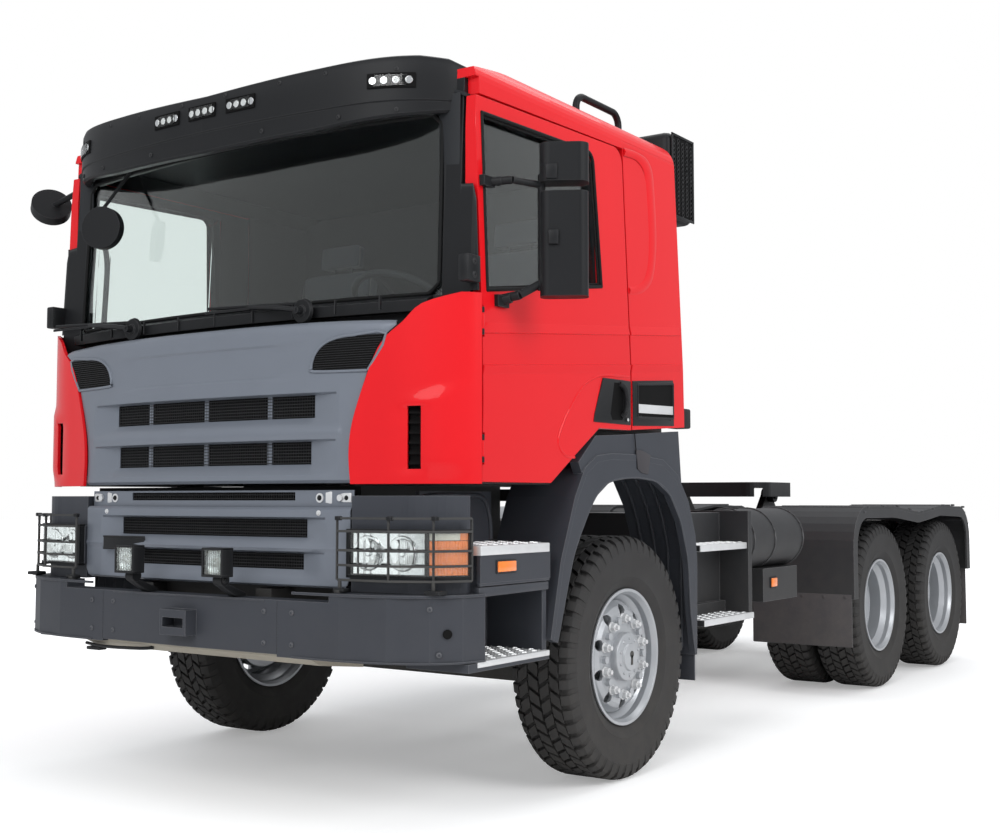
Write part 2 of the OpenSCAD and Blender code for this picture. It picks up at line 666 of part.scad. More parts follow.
module hinge_pins() for (z = hinge_z) {
    shaft_z(z - hinge_h / 2 - 22, z + hinge_h / 2 + 22, hinge_x, door_y0, hinge_r / 2);
    for (s = [-1, 1]) {
        zc = z + s * (hinge_h / 2 + 12);
        shaft_z(zc - 10, zc + 10, hinge_x, door_y0, hinge_r);
        block([hinge_x - 75, flank_y - 8, zc - 10], [flank_x, flank_y + 9, zc + 10]);
        block([hinge_x - 75, flank_y + seat_gap, zc - 10], [hinge_x, flank_y + 9, zc + 10]);
    }
}

// black panel under the windscreen
scuttle_d = 52;                       // its front, ahead of the screen's foot
module scuttle() {
    r = screen_r;
    a = 11;
    translate([0, screen_y + r, 0]) rotate([0, 0, -90 - a]) rotate_extrude(angle = 2 * a)
        polygon([[r - 15, 1945], [r + scuttle_d, 1945], [r + scuttle_d, 1988], [r + 2, screen_z0 - 1],
                 [r - 15, screen_z0 - 1]]);
}

// brackets that carry the lid, with their pins
module lid_hinges() for (x = lid_hinge_x) {
    across(x + 32, x + 52) polygon(concat([[-1290, lid_pivot_z - 12]], [[-1290, lid_pivot_z + 12]],
        arc([lid_pivot_y, lid_pivot_z], 12, 90, 270)));
    shaft_x(x - 30, x + 33, lid_pivot_y, lid_pivot_z, lid_pin_r);
}

module cab_front_frame() color("#23262a") {
    difference() {
        intersection() {
            cab_shell();
            union() {
                block([-inner_x + 12, -1600, toe_z], [inner_x - 12, -1100, roof_edge_z - seat_gap]);
                block([-flank_x, -1600, toe_z], [flank_x, flank_y, roof_edge_z - seat_gap]);
                block([-1400, -1600, corner_z1 + 4], [1400, flank_y, roof_edge_z - seat_gap]);
            }
        }
        screen_opening();
    }
    both() hinge_pins();
    scuttle();
    lid_hinges();
}

module windscreen() color("#9fb0ae", 0.5) intersection() {
    difference() { cab_block(10); cab_block(10 + glass_t); }
    screen_opening(seat_gap);
    block([-1500, -1600, 1000], [1500, -1000, 3000]);
}

// edge of the lid in front view, from its bottom to its top corner
lid_edge = [[773, 1292], [766, 1420], [790, 1560], [880, 1800], [972, 1894]];
lid_top = 1920;
lid_skin_x = 850;                     // the lid is thin outside of this
lid_pivot_y = -1402 + skin;
lid_pivot_z = 1905;
lid_pin_r = 5;
lid_hinge_x = [-300, 300];

module corner_panels() color("#c8102e") both() {
    front = concat([[700, -1402], [770, -1388], [870, -1366]], arc([1088, -1195], 152, 230, 355, 9));
    back = concat(arc([1080, -1195], 126, 350, 235, 8), [[870, -1336], [770, -1358], [700, -1372]]);
    intersection() {
        difference() {
            upright(1286, corner_z1) polygon(concat(front,
                [[cab_half_w + 2, flank_y], [cab_half_w - skin, flank_y]], back));
            block([1000, -1500, 1343], [1052, -1290, 1578]);
        }
        along(-1600, -1000) polygon(concat([[1300, 1286], [1300, corner_z1], [1190, corner_z1 - 5],
            [1060, 1962]],
            [lid_edge[4] + [20, 4], lid_edge[3] + [9, 0]], [for (i = [2:-1:0]) lid_edge[i] + [6, 0]]));
    }
    // inner ribs that carry the panel on the cab's front
    for (z = [toe_z + 5, 1800]) difference() {
        block([1080, -1325, z], [1120, -1150, z + 30]);
        cab_block(-seat_gap);
    }
}

// plan of the lid with thickness t
function lid_plan(t, x1) = concat(
    [for (i = [-12:12]) let (x = i * x1 / 12) [x, -1428 + 88 * pow(x / 1000, 2)]],
    [for (i = [12:-1:-12]) let (x = i * x1 / 12) [x, -1428 + t + 88 * pow(x / 1000, 2)]]);

module front_grille() color("#7a808a") {
    half = concat([[0, lid_edge[0][1]]], lid_edge, [[955, 1904], [760, lid_top - 5], [0, lid_top]]);
    difference() {
        intersection() {
            union() {
                upright(1290, lid_top + 5) polygon(lid_plan(10, 1000));
                upright(1290, lid_top + 5) polygon(lid_plan(skin, lid_skin_x));
            }
            along(-1600, -1200) both2d() polygon(half);
        }
        // intake slots
        block([-578, -1500, 1547], [578, -1412, 1635]);
        block([-562, -1500, 1366], [562, -1411, 1454]);
    }
    for (x = lid_hinge_x) difference() {
        across(x - 28, x + 28) polygon(concat([[-1405, lid_pivot_z - 30]],
            arc([lid_pivot_y, lid_pivot_z], 14, -60, 90),
            [[-1405, lid_pivot_z + 14]]));
        shaft_x(x - 60, x + 60, lid_pivot_y, lid_pivot_z, lid_pin_r + running_gap);
    }
}
module both2d() { children(); mirror([1, 0]) children(); }

module sun_visor() color("#1e2023") {
    front = concat([for (i = [0:10]) let (x = i * 900 / 10) [x, -1432 + 78 * pow(x / 900, 2)]],
        arc([1010, -1200], 170, 235, 345, 8));
    back = concat(arc([1010, -1190], 140, 345, 240, 8), [for (i = [10:-1:0]) let (x = i * 900 / 10) [x,
        -1402 + 78 * pow(x / 900, 2)]]);
    both() intersection() {
        upright(2660, 2940) polygon(concat(front, back));
        along(-1600, -1000) polygon([[-1, 2668], [600, 2678], [1165, 2729], [1190, 2900], [1100, 2938],
            [-1, 2900]]);
    }
    // stays to the roof's front
    for (x = [-900, -300, 300, 900]) difference() {
        block([x - 12, -1415 + 78 * pow(x / 900, 2), 2860], [x + 12, -1150, 2876]);
        cab_block(-seat_gap);
    }
}

module dashboard() color("#3a3d42") {
    y1 = -905;
    intersection() {
        cab_block(cab_wall + seat_gap);
        union() {
            block([-inner_x + 8, -1400, 1760], [inner_x - 8, y1, 1900]);
            across(-inner_x + 8, inner_x - 8) polygon([[-1400, 1890], [-1400, 1935], [-960, 1935],
                [y1, 1890]]);
            block([-300, -1400, tunnel_z + seat_gap], [300, -960, 1761]);
        }
    }
    // binnacle and column
    block([wheel_x - 200, -960, 1880], [wheel_x + 200, -860, 1960]);
    bar(wheel_hub - 190 * column, wheel_hub - (45 + seat_gap) * column, 28);
}

wheel_x = 560;
column_tilt = 32;
column = [0, sin(column_tilt), cos(column_tilt)];
wheel_hub = [wheel_x, -790, 2050];
rim_hub_r = 225;

module steering_wheel() color("#23262a") translate(wheel_hub) rotate([-column_tilt, 0, 0]) {
    rotate_extrude() translate([rim_hub_r, 0]) circle(r = 15, $fn = 24);
    translate([0, 0, -45]) cylinder(h = 50, r = 60);
    for (a = [0, 90, 180, 270]) rotate([0, 0, a]) translate([30, -12, -16]) cube([rim_hub_r - 30, 24, 14]);
}

module seat(x) translate([x, 0, 0]) {
    base = floor_back_z + floor_t + seat_gap;
    block([-135, -400, base], [170, -20, 1800]);
    across(-245, 245) polygon([[-520, 1790], [-530, 1870], [-500, 1905], [-60, 1885], [60, 1790]]);
    across(-240, 240) polygon([[-80, 1850], [60, 2550], [110, 2590], [180, 2570], [180, 2500], [60, 1850]]);
}
module seats() color("#5a5d62") both() seat(wheel_x);

module air_intake() color("#1e2023") {
    block([860, cab_back + 40, 2600], [1150, cab_back + 310, 3040]);
    block([900, cab_back + 30, 1700], [1080, cab_back + 190, 2601]);
    for (z = [1800, 2500]) block([940, cab_back + seat_gap, z], [1040, cab_back + 31, z + 60]);
    // drain box under the duct
    block([1062, cab_back + 120, 1660], [1078, cab_back + 180, 1701]);
    block([1060, cab_back + 100, 1577], [1150, cab_back + 250, 1678]);
}

module roof_rail() color("#1e2023") {
    // a bent tube, standing in a plane along the roof
    z = 3118;
    bend = 60;
    x = cab_half_w - 306;
    tube = 17;
    ends = [20, 420];
    // height of the sloping edge of the roof where the tube's legs stand
    top = [cab_half_w - 420, cab_top - 28];
    low = [cab_half_w - 168 + 125 * cos(75), cab_top - 180 + 125 * sin(75)];
    foot = top[1] + (x - tube - top[0]) * (low[1] - top[1]) / (low[0] - top[0]) + seat_gap;
    shaft_y(ends[0] + bend, ends[1] - bend, x, z, tube);
    for (i = [0, 1]) {
        s = 1 - 2 * i;
        translate([x, ends[i] + s * bend, z - bend]) rotate([90, 0, -90 * s])
            rotate_extrude(angle = 90) translate([bend, 0]) circle(r = tube, $fn = 24);
        shaft_z(foot, z - bend, x, ends[i], tube);
    }
}

wiper_x = 502;
module wipers() color("#151618") for (x = [-wiper_x, wiper_x]) translate([x, 0, 0]) {
    foot = screen_y + screen_r - sqrt(pow(screen_r + scuttle_d + seat_gap, 2) - pow(wiper_x - 14, 2));
    shaft_y(-1400, foot, 0, 1971, 14);
    bar([0, -1392, 1974], [-290, -1356, 2010], 9);
    bar([-10, -1341, 2006], [-550, -1341, 2026], 7);
    bar([-290, -1356, 2010], [-290, -1341, 2016], 6);
}

// round mirror that looks down on the front of the vehicle
module front_mirror() color("#1e2023") difference() {
    union() {
        bar([-700, -1180, 2780], [-700, -1378, 2520], 8);
        translate([-700, -1372, 2440]) rotate([90, 0, 20]) cylinder(h = 40, r = 95, center = true);
    }
    cab_block(-seat_gap);
}

// round mirror over the kerb-side door
module kerb_mirror() {
    head = [cab_half_w + 164, -1128, 2668];
    bar([cab_half_w - 76, -1095, 2745], head, 14);
    translate(head) rotate([60, 0, -60]) cylinder(h = 50, r = 95, center = true);
}

module door_solid() {
    difference() {
        intersection() {
            cab_block(0);
            across(inner_x, cab_half_w + 100) polygon(door_outline);
        }
        across(inner_x - 5, cab_half_w + 100) polygon(window_outline);
        for (z = hinge_z) shaft_z(z - hinge_h / 2 - 30, z + hinge_h / 2 + 30, hinge_x, door_y0, hinge_r + 3);
    }
    for (z = hinge_z) difference() {
        union() {
            shaft_z(z - hinge_h / 2, z + hinge_h / 2, hinge_x, door_y0, hinge_r);
            block([hinge_x - 20, door_y0, z - hinge_h / 2], [hinge_x - 2, door_y0 + 22, z + hinge_h / 2]);
        }
        shaft_z(z - hinge_h, z + hinge_h, hinge_x, door_y0, hinge_r / 2 + running_gap);
    }
}
module door_left() color("#c8102e") door_solid();
module door_right() color("#c8102e") mirror([1, 0, 0]) door_solid();

module door_pane() intersection() {
    difference() { cab_block(30); cab_block(30 + glass_t); }
    across(inner_x + 4, cab_half_w + 100) polygon([for (p = window_outline)
        [p[0] + (p[0] < -700 ? seat_gap : -seat_gap), p[1] + (p[1] < 2400 ? seat_gap : -seat_gap)]]);
}
module door_glass_left() color("#7f8f8d", 0.5) door_pane();
module door_glass_right() color("#7f8f8d", 0.5) mirror([1, 0, 0]) door_pane();

head_y = -899;
head_w = 190;
head_d = 110;
head_r = 40;
mirror_reach = cab_half_w + 291;                  // outermost point of both sets of mirrors
module mirror_set(yaw) {
    head_x = mirror_reach - (head_w / 2 - head_r) * cos(yaw) - (head_d / 2 - head_r) * sin(yaw) - head_r;
    translate([head_x, head_y, 0]) rotate([0, 0, yaw]) {
        upright(2004, 2410) rounded(head_w - 4, head_d - 14, head_r - 5);
        upright(2446, 2596) rounded(head_w, head_d, head_r);
    }
    tube = [head_x - 75, head_y - 45];
    bar(concat(tube, 2030), concat(tube, 2480), 15);
    foot = cab_half_w - 66;
    knee = cab_half_w + 64;
    bar([foot, -1110, 2440], [knee, -1060, 2446], 16);
    bar([knee, -1060, 2446], concat(tube, 2440), 14);
    bar([foot, -1040, 1990], [knee, -1010, 2010], 18);
    bar([knee, -1010, 2010], concat(tube, 2060), 16);
    block([foot + 10, -1150, 2420], [foot + 62, -1080, 2460]);
    block([foot + 10, -1075, 1965], [foot + 75, -1000, 2010]);
}
module mirrors_left() color("#1e2023") difference() {
    mirror_set(30);
    cab_block(-seat_gap);
}
module mirrors_right() color("#1e2023") mirror([1, 0, 0]) difference() {
    union() {
        translate([0, 0, -25]) mirror_set(38);
        kerb_mirror();
    }
    cab_block(-seat_gap);
}

// ---- wheels ----
flange_h = 13;
rim_half = 125;
rim_wall = 12;

// half-turned outline of the rim's barrel about its middle plane
function barrel_outline() = [
    [rim_r + flange_h, -rim_half], [rim_r + flange_h, -rim_half + 9], [rim_r, -rim_half + 16], [rim_r, -72],
    [rim_r - 30, -42], [rim_r - 30, 42], [rim_r, 72], [rim_r, rim_half - 16],
        [rim_r + flange_h, rim_half - 9],
    [rim_r + flange_h, rim_half], [rim_r, rim_half], [rim_r - rim_wall, rim_half - 22],
        [rim_r - rim_wall, 76],
    [rim_r - 30 - rim_wall, 46], [rim_r - 30 - rim_wall, -46], [rim_r - rim_wall, -76],
    [rim_r - rim_wall, -rim_half + 22], [rim_r, -rim_half]];

module wheel_turned(x) translate([x, 0, tyre_r]) rotate([0, 90, 0]) rotate_extrude($fn = 96) children();

module tyre_solid(x) color("#1d1e20") wheel_turned(x) {
    w = tyre_w / 2;
    b = rim_half - 18;
    polygon(concat([[rim_r + seat_gap, -b], [rim_r + flange_h + 4, -b - 8], [rim_r + 60, -w + 10],
        [rim_r + 125, -w]],
        arc([tyre_r - 40, -w + 42], 38, 265, 360, 6), [[tyre_r, 0]],
        [for (p = arc([tyre_r - 40, -w + 42], 38, 360, 265, 6)) [p[0], -p[1]]],
        [[rim_r + 125, w], [rim_r + 60, w - 10], [rim_r + flange_h + 4, b + 8], [rim_r + seat_gap, b]]));
}

hand_holes = 10;
stud_pcd = 335;
stud_r = 11;

module front_rim(side) color("#b9bbbe") mirror([side < 0 ? 1 : 0, 0, 0]) difference() {
    union() {
        wheel_turned(front_tyre_x) {
            polygon(barrel_outline());
            // disc
            polygon([[235, 30], [246, 46], [246, 60], [225, 92], [205, 104], [100, 104], [100, 88],
                [200, 88], [215, 80]]);
        }
        // hub and drum
        shaft_x(hub_x0, hub_x1, 0, tyre_r, 105);
        shaft_x(hub_x0, hub_x0 + 70, 0, tyre_r, 200);
        for (i = [0:9]) shaft_x(front_tyre_x + 100, front_tyre_x + 124, stud_pcd / 2 * cos(i * 36),
                                tyre_r + stud_pcd / 2 * sin(i * 36), stud_r * 1.5);
    }
    shaft_x(hub_x0 - 1, hub_x1 - 25, 0, tyre_r, spindle_r + running_gap);
    for (i = [0:hand_holes - 1]) let (a = i * 36 + 18)
        shaft_x(front_tyre_x + 60, front_tyre_x + 140, 205 * cos(a), tyre_r + 205 * sin(a), 24);
}

module rear_rim(y, side) color("#b9bbbe") translate([0, y, 0]) mirror([side < 0 ? 1 : 0, 0, 0]) {
    inner_tyre = rear_tyre_x - twin_spacing;
    middle = rear_tyre_x - twin_spacing / 2;
    difference() {
        union() {
            wheel_turned(rear_tyre_x) polygon(barrel_outline());
            wheel_turned(inner_tyre) polygon(barrel_outline());
            // the two discs back to back
            wheel_turned(middle) {
                polygon([[246, 132], [246, 150], [225, 100], [205, 14], [100, 14], [100, 0], [215, 0],
                    [236, 95]]);
                polygon([[246, -132], [246, -150], [225, -100], [205, -14], [100, -14], [100, 0],
                    [215, 0], [236, -95]]);
            }
            shaft_x(rear_hub_x0, rear_hub_x1, 0, tyre_r, 118);
            shaft_x(rear_hub_x0, rear_hub_x0 + 110, 0, tyre_r, 200);
            for (i = [0:9]) shaft_x(middle - 30, middle + 36, stud_pcd / 2 * cos(i * 36),
                                    tyre_r + stud_pcd / 2 * sin(i * 36), stud_r * 1.5);
        }
        shaft_x(rear_hub_x0 - 1, rear_hub_x1 - 25, 0, tyre_r, rear_spindle_r + running_gap);
    }
}

module twin_tyres(y, side) translate([0, y, 0]) mirror([side < 0 ? 1 : 0, 0, 0]) {
    tyre_solid(rear_tyre_x);
    tyre_solid(rear_tyre_x - twin_spacing);
}

module rim_front_left() front_rim(1);
module rim_front_right() front_rim(-1);
module tyre_front_left() tyre_solid(front_tyre_x);
module tyre_front_right() mirror([1, 0, 0]) tyre_solid(front_tyre_x);
module rim_mid_left() rear_rim(mid_y, 1);
module rim_mid_right() rear_rim(mid_y, -1);
module rim_rear_left() rear_rim(last_y, 1);
module rim_rear_right() rear_rim(last_y, -1);
module tyre_mid_left() twin_tyres(mid_y, 1);
module tyre_mid_right() twin_tyres(mid_y, -1);
module tyre_rear_left() twin_tyres(last_y, 1);
module tyre_rear_right() twin_tyres(last_y, -1);

home() ladder_frame();
home() front_axle();
home() drive_axles();
home() leaf_springs();
home() propshafts();
home() engine();
home() bumper();
home() undershield();
home() headlamps();
home() headlamp_guards();
home() work_lamps();
home() lower_grille();
home() entry_steps();
home() front_fenders();
home() battery_box();
home() air_tanks();
home() fuel_tank();
home() silencer();
home() rear_mudguards();
home() fifth_wheel_base();
home() tail_lamps();
home() cab_floor();
home() cab_back_wall();
home() cab_sides();
home() cab_roof();
home() cab_front_frame();
home() corner_panels();
home() windscreen();
home() sun_visor();
home() dashboard();
home() seats();
home() air_intake();
home() roof_rail();
home() wipers();
home() front_mirror();
home() door_left();
home() door_right();
home() door_glass_left();
home() door_glass_right();
home() mirrors_left();
home() mirrors_right();
home() front_grille();
home() steering_wheel();
home() knuckle_left();
home() knuckle_right();
home() fifth_wheel();
home() rim_front_left();
home() tyre_front_left();
home() rim_front_right();
home() tyre_front_right();
home() rim_mid_left();
home() tyre_mid_left();
home() rim_mid_right();
home() tyre_mid_right();
home() rim_rear_left();
home() tyre_rear_left();
home() rim_rear_right();
home() tyre_rear_right();
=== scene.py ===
"""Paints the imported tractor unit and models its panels, lamps, tyres and trim around it."""

import math

import bmesh
import bpy
from mathutils import Matrix, Vector


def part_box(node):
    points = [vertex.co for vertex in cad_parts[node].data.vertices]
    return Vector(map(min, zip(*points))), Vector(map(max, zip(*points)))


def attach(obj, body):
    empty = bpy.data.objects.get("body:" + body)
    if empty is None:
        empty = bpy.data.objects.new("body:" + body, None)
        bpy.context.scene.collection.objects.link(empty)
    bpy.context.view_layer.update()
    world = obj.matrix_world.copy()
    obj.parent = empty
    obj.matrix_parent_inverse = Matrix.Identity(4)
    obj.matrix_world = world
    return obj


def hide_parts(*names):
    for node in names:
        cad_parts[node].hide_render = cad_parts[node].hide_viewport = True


bl_info = {
    "name": "Tractor unit",
    "version": (1, 0, 0),
    "blender": (4, 5, 0),
    "location": "View3D > Sidebar > Tractor",
    "description": "Paints a packed cab-over tractor unit and models its detail",
    "category": "Object",
}

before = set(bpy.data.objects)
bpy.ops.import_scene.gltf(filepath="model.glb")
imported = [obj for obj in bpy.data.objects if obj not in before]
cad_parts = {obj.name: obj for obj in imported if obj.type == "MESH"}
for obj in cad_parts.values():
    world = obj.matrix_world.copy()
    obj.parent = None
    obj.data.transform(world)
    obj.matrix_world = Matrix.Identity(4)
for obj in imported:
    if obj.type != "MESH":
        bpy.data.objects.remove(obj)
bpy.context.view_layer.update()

# Places are written in millimetres, with X = 0 on the vehicle's centre plane, +X to its left,
# Y = 0 at its front axle and +Y to the back. at() turns them into metres in the frame.
MM = 0.001
TYRE_LOW, TYRE_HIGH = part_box("tyre_front_left")
AXLE_Y = (TYRE_LOW.y + TYRE_HIGH.y) / 2
TYRE_R = (TYRE_HIGH.z - TYRE_LOW.z) / 2 / MM
TYRE_X = (TYRE_LOW.x + TYRE_HIGH.x) / 2 / MM

KEEN_EDGE = math.radians(32)    # an edge that turns more than this is shown hard
MERGE = 0.00002                 # metres between points that are one
SEAM = 0.00001                  # metres from the centre plane within which halves join
PANEL = 5                       # a pressed panel's thickness
WHITE = (1.0, 1.0, 1.0, 1.0)


def shade(code):
    """A colour written as six hex digits, as the shader wants it."""
    parts = [int(code[i:i + 2], 16) / 255 for i in (0, 2, 4)]
    return [p / 12.92 if p < 0.04045 else ((p + 0.055) / 1.055) ** 2.4 for p in parts] + [1.0]


def at(x, y, z):
    """A place in the frame, in metres."""
    return Vector((x * MM, AXLE_Y + y * MM, z * MM))


def between(table, value):
    """Reads a table of (value, result) pairs, straight between its rows."""
    for (a, low), (b, high) in zip(table, table[1:]):
        if value <= b:
            return low + (high - low) * max(0.0, value - a) / (b - a)
    return table[-1][1]


# ---- sizes and colours that a user would change ----

def colour(name, text, code):
    return bpy.props.FloatVectorProperty(
        name=name, description=text, subtype="COLOR", size=4, min=0.0, max=1.0, default=shade(code))


def length(name, text, value):
    return bpy.props.FloatProperty(name=name, description=text, unit="LENGTH", default=value)


class TractorColours(bpy.types.PropertyGroup):
    cab: colour("Cab paint", "Gloss paint of the cab and doors", "DA111B")
    grille: colour("Grille paint", "Satin paint of the lid and the lower grille", "737983")
    slate: colour("Slate plastic", "Bumper, steps and front fenders", "383B42")
    black: colour("Black plastic", "Visor, mirrors and pillars", "1D1E20")
    guard: colour("Mudguard plastic", "Twin mudguards and boxes", "2B2C2F")
    flap: colour("Flap rubber", "Hanging flaps", "37353A")
    tyre: colour("Tyre rubber", "Tread and sidewalls", "202022")
    wheel: colour("Wheel silver", "Steel wheels", "B4B7BB")
    bright: colour("Bright metal", "Chequer treads and bolts", "DEDFE0")
    chassis: colour("Chassis paint", "Frame, axles and springs", "1B1C1E")
    dust: colour("Road dust", "Dust on low surfaces", "8B8376")
    amber: colour("Amber lens", "Turn signals and side markers", "F07A08")
    tail: colour("Red lens", "Tail lamps", "A80D0D")
    trim: colour("Cab trim", "Dashboard, lining and steering wheel", "26282B")
    fabric: colour("Seat fabric", "Seats", "3E434A")
    glass: colour("Glass", "Tint of the panes", "EEF5F3")


class TractorSizes(bpy.types.PropertyGroup):
    camera_place: bpy.props.FloatVectorProperty(
        name="Camera place", description="Where the camera stands", subtype="TRANSLATION",
        default=(4.0740, -7.0796, 1.2345))
    camera_turn: bpy.props.FloatProperty(
        name="Camera turn", description="Turn about the upright", subtype="ANGLE",
        default=math.radians(34.53))
    camera_pitch: bpy.props.FloatProperty(
        name="Camera pitch", description="Pitch above the horizon", subtype="ANGLE",
        default=math.radians(3.546))
    camera_lens: bpy.props.FloatProperty(
        name="Lens", description="Focal length in millimetres", default=47.5)
    mesh_pitch: length("Mesh pitch", "Distance between the wires of the grille mesh", 0.0125)
    mesh_wire: length("Mesh wire", "Radius of a wire of the grille mesh", 0.0018)
    tread_depth: length("Tread depth", "Depth of the tyres' grooves", 0.017)
    tread_pitches: bpy.props.IntProperty(
        name="Tread pitches", description="Blocks round a tyre", default=50, min=20, max=90)
    stud_pitch: length("Tread plate pitch", "Distance between the studs of a step's tread", 0.034)


# ---- shapes ----

def once(things):
    """Each thing once, in the order in which it first comes."""
    return list(dict.fromkeys(things))


def block(bm, low, high, round_by=0.0, segments=2):
    """A box between two corners, with its edges rounded."""
    low, high = at(*low), at(*high)
    place = Matrix.LocRotScale((low + high) / 2, None, high - low)
    verts = bmesh.ops.create_cube(bm, size=1.0, matrix=place)["verts"]
    if round_by:
        verts = rounded(bm, verts, round_by, segments)
    return verts


def rounded(bm, verts, round_by, segments=2):
    """Bevels every edge of a shape, and returns the vertices that it then has."""
    edges = once(e for v in verts for e in v.link_edges)
    made = bmesh.ops.bevel(bm, geom=edges, offset=round_by * MM, offset_type="OFFSET", profile=0.5,
                           segments=segments, affect="EDGES", material=-1, clamp_overlap=True)
    return once([v for f in made["faces"] for v in f.verts] + [v for v in verts if v.is_valid])


def rod(bm, start, end, radius, top=None, sides=16):
    """A round bar, or a cone where its end has a radius of its own."""
    p, q = at(*start), at(*end)
    turn = (q - p).to_track_quat("Z", "Y").to_matrix().to_4x4()
    return bmesh.ops.create_cone(
        bm, cap_ends=True, segments=sides, radius1=radius * MM, depth=(q - p).length,
        radius2=(radius if top is None else top) * MM, matrix=Matrix.Translation((p + q) / 2) @ turn)["verts"]


def ring(bm, points):
    """The edges of a closed outline."""
    verts = [bm.verts.new(at(*p)) for p in points]
    return [bm.edges.new(pair) for pair in zip(verts, verts[1:] + verts[:1])]


def loft(bm, sections, caps=True):
    """A body through closed sections that have as many points each."""
    rings = [ring(bm, section) for section in sections]
    for one, other in zip(rings, rings[1:]):
        bmesh.ops.bridge_loops(bm, edges=one + other)
    if caps:
        for end in (rings[0], rings[-1]):
            bmesh.ops.contextual_create(bm, geom=end)
    return once(v for edges in rings for e in edges for v in e.verts)


def slab(bm, outline, push, round_by=0.0):
    """A flat outline of points, given a thickness by the vector push."""
    far = [tuple(a + b for a, b in zip(p, push)) for p in outline]
    verts = loft(bm, [outline, far])
    return rounded(bm, verts, round_by) if round_by else verts


def facing_front(outline, y):
    """An outline of (x, z) pairs, in the plane at y."""
    return [(x, y, z) for x, z in outline]


def facing_side(outline, x):
    """An outline of (y, z) pairs, in the plane at x."""
    return [(x, y, z) for y, z in outline]


def pipe(bm, points, radius, sides=10):
    """A round bar along a line of points."""
    places = [at(*p) for p in points]
    rings = []
    for i, place in enumerate(places):
        ahead = places[min(i + 1, len(places) - 1)] - places[max(i - 1, 0)]
        turn = ahead.to_track_quat("Z", "Y").to_matrix().to_4x4()
        verts = bmesh.ops.create_circle(bm, segments=sides, radius=radius * MM,
                                        matrix=Matrix.Translation(place) @ turn)["verts"]
        rings.append(once(e for v in verts for e in v.link_edges))
    for one, other in zip(rings, rings[1:]):
        bmesh.ops.bridge_loops(bm, edges=one + other)
    for end in (rings[0], rings[-1]):
        bmesh.ops.contextual_create(bm, geom=end)


def arc(centre, radius, start, end, steps):
    """Points on a circle in a plane, between two angles in degrees."""
    turns = [math.radians(start + (end - start) * i / steps) for i in range(steps + 1)]
    return [(centre[0] + radius * math.cos(t), centre[1] + radius * math.sin(t)) for t in turns]


def smooth_line(points, steps=6):
    """A curved line through a few points."""
    ends = [points[0]] + list(points) + [points[-1]]
    line = []
    for a, b, c, d in zip(ends, ends[1:], ends[2:], ends[3:]):
        for i in range(steps):
            t = i / steps
            line.append(tuple(
                0.5 * (2 * q + (r - p) * t + (2 * p - 5 * q + 4 * r - s) * t ** 2
                       + (3 * q - p - 3 * r + s) * t ** 3)
                for p, q, r, s in zip(a, b, c, d)))
    return line + [tuple(points[-1])]


def turned(bm, outline, centre, steps, forward=False):
    """A closed outline of (radius, place along the axis) turned about X through centre, or about Y."""
    x, y, z = centre
    edges = ring(bm, [(x + r, y + a, z) if forward else (x + a, y, z + r) for r, a in outline])
    verts = once(v for e in edges for v in e.verts)
    bmesh.ops.spin(bm, geom=verts + edges, axis=(0, 1, 0) if forward else (1, 0, 0), cent=at(*centre),
                   steps=steps, angle=2 * math.pi, use_merge=True)


def around(bm, verts, centre, count):
    """Copies of a body round the X axis through centre, as many as count in all."""
    parts = once(g for v in verts for g in (v, *v.link_edges, *v.link_faces))
    step = 2 * math.pi / count
    bmesh.ops.spin(bm, geom=parts, axis=(1, 0, 0), cent=at(*centre), steps=count - 1,
                   angle=step * (count - 1), use_duplicate=True)


def plan_line(points):
    """Stations of a line in plan that runs from the front to the side: its points, each with the outward way."""
    line = []
    for i, p in enumerate(points):
        a, b = points[max(i - 1, 0)], points[min(i + 1, len(points) - 1)]
        run = math.hypot(b[0] - a[0], b[1] - a[1])
        line.append((p, ((b[1] - a[1]) / run, (a[0] - b[0]) / run)))
    return line


def out(station, by, z):
    """The place at height z that lies by outside a station."""
    (x, y), (nx, ny) = station
    return (x + nx * by, y + ny * by, z)


def band(bm, line, inner, outer, low, high):
    """A strip along a line of stations, from inner to outer in front of it."""
    loft(bm, [[out(s, inner, low), out(s, outer, low), out(s, outer, high), out(s, inner, high)]
              for s in line])


def bolt(bm, place, direction, radius, height):
    """A hexagon head on a washer. Its foot goes a little into what it holds."""
    foot, washer, tip = ([a + b * by for a, b in zip(place, direction)] for by in (-2, 1.5, height))
    rod(bm, foot, tip, radius, radius * 0.86, 6)
    rod(bm, foot, washer, radius * 1.35, sides=14)


def piece(name, bm, finish, body, replaces=(), side=1, both=False, bend=None, crease=KEEN_EDGE):
    """Turns finished shapes into an object that rides on a body, on one side of the vehicle or on both."""
    bmesh.ops.remove_doubles(bm, verts=bm.verts, dist=MERGE)
    if bend:
        for v in bm.verts:
            v.co.y += bend(v.co.x / MM) * MM
    if both:
        bmesh.ops.mirror(bm, geom=bm.verts[:] + bm.edges[:] + bm.faces[:], axis="X", merge_dist=SEAM)
    if side < 0:
        bmesh.ops.scale(bm, vec=(-1, 1, 1), verts=bm.verts)
    bmesh.ops.recalc_face_normals(bm, faces=bm.faces)
    for face in bm.faces:
        face.smooth = True
    for edge in bm.edges:
        edge.smooth = len(edge.link_faces) == 2 and edge.calc_face_angle(0.0) < crease
    mesh = bpy.data.meshes.new(name)
    bm.to_mesh(mesh)
    bm.free()
    shown = bpy.data.objects.new(name, mesh)
    bpy.context.scene.collection.objects.link(shown)
    mesh.materials.append(FINISHES[finish])
    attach(shown, body)
    if replaces:
        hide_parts(*replaces)
    return shown


# ---- shader groups ----

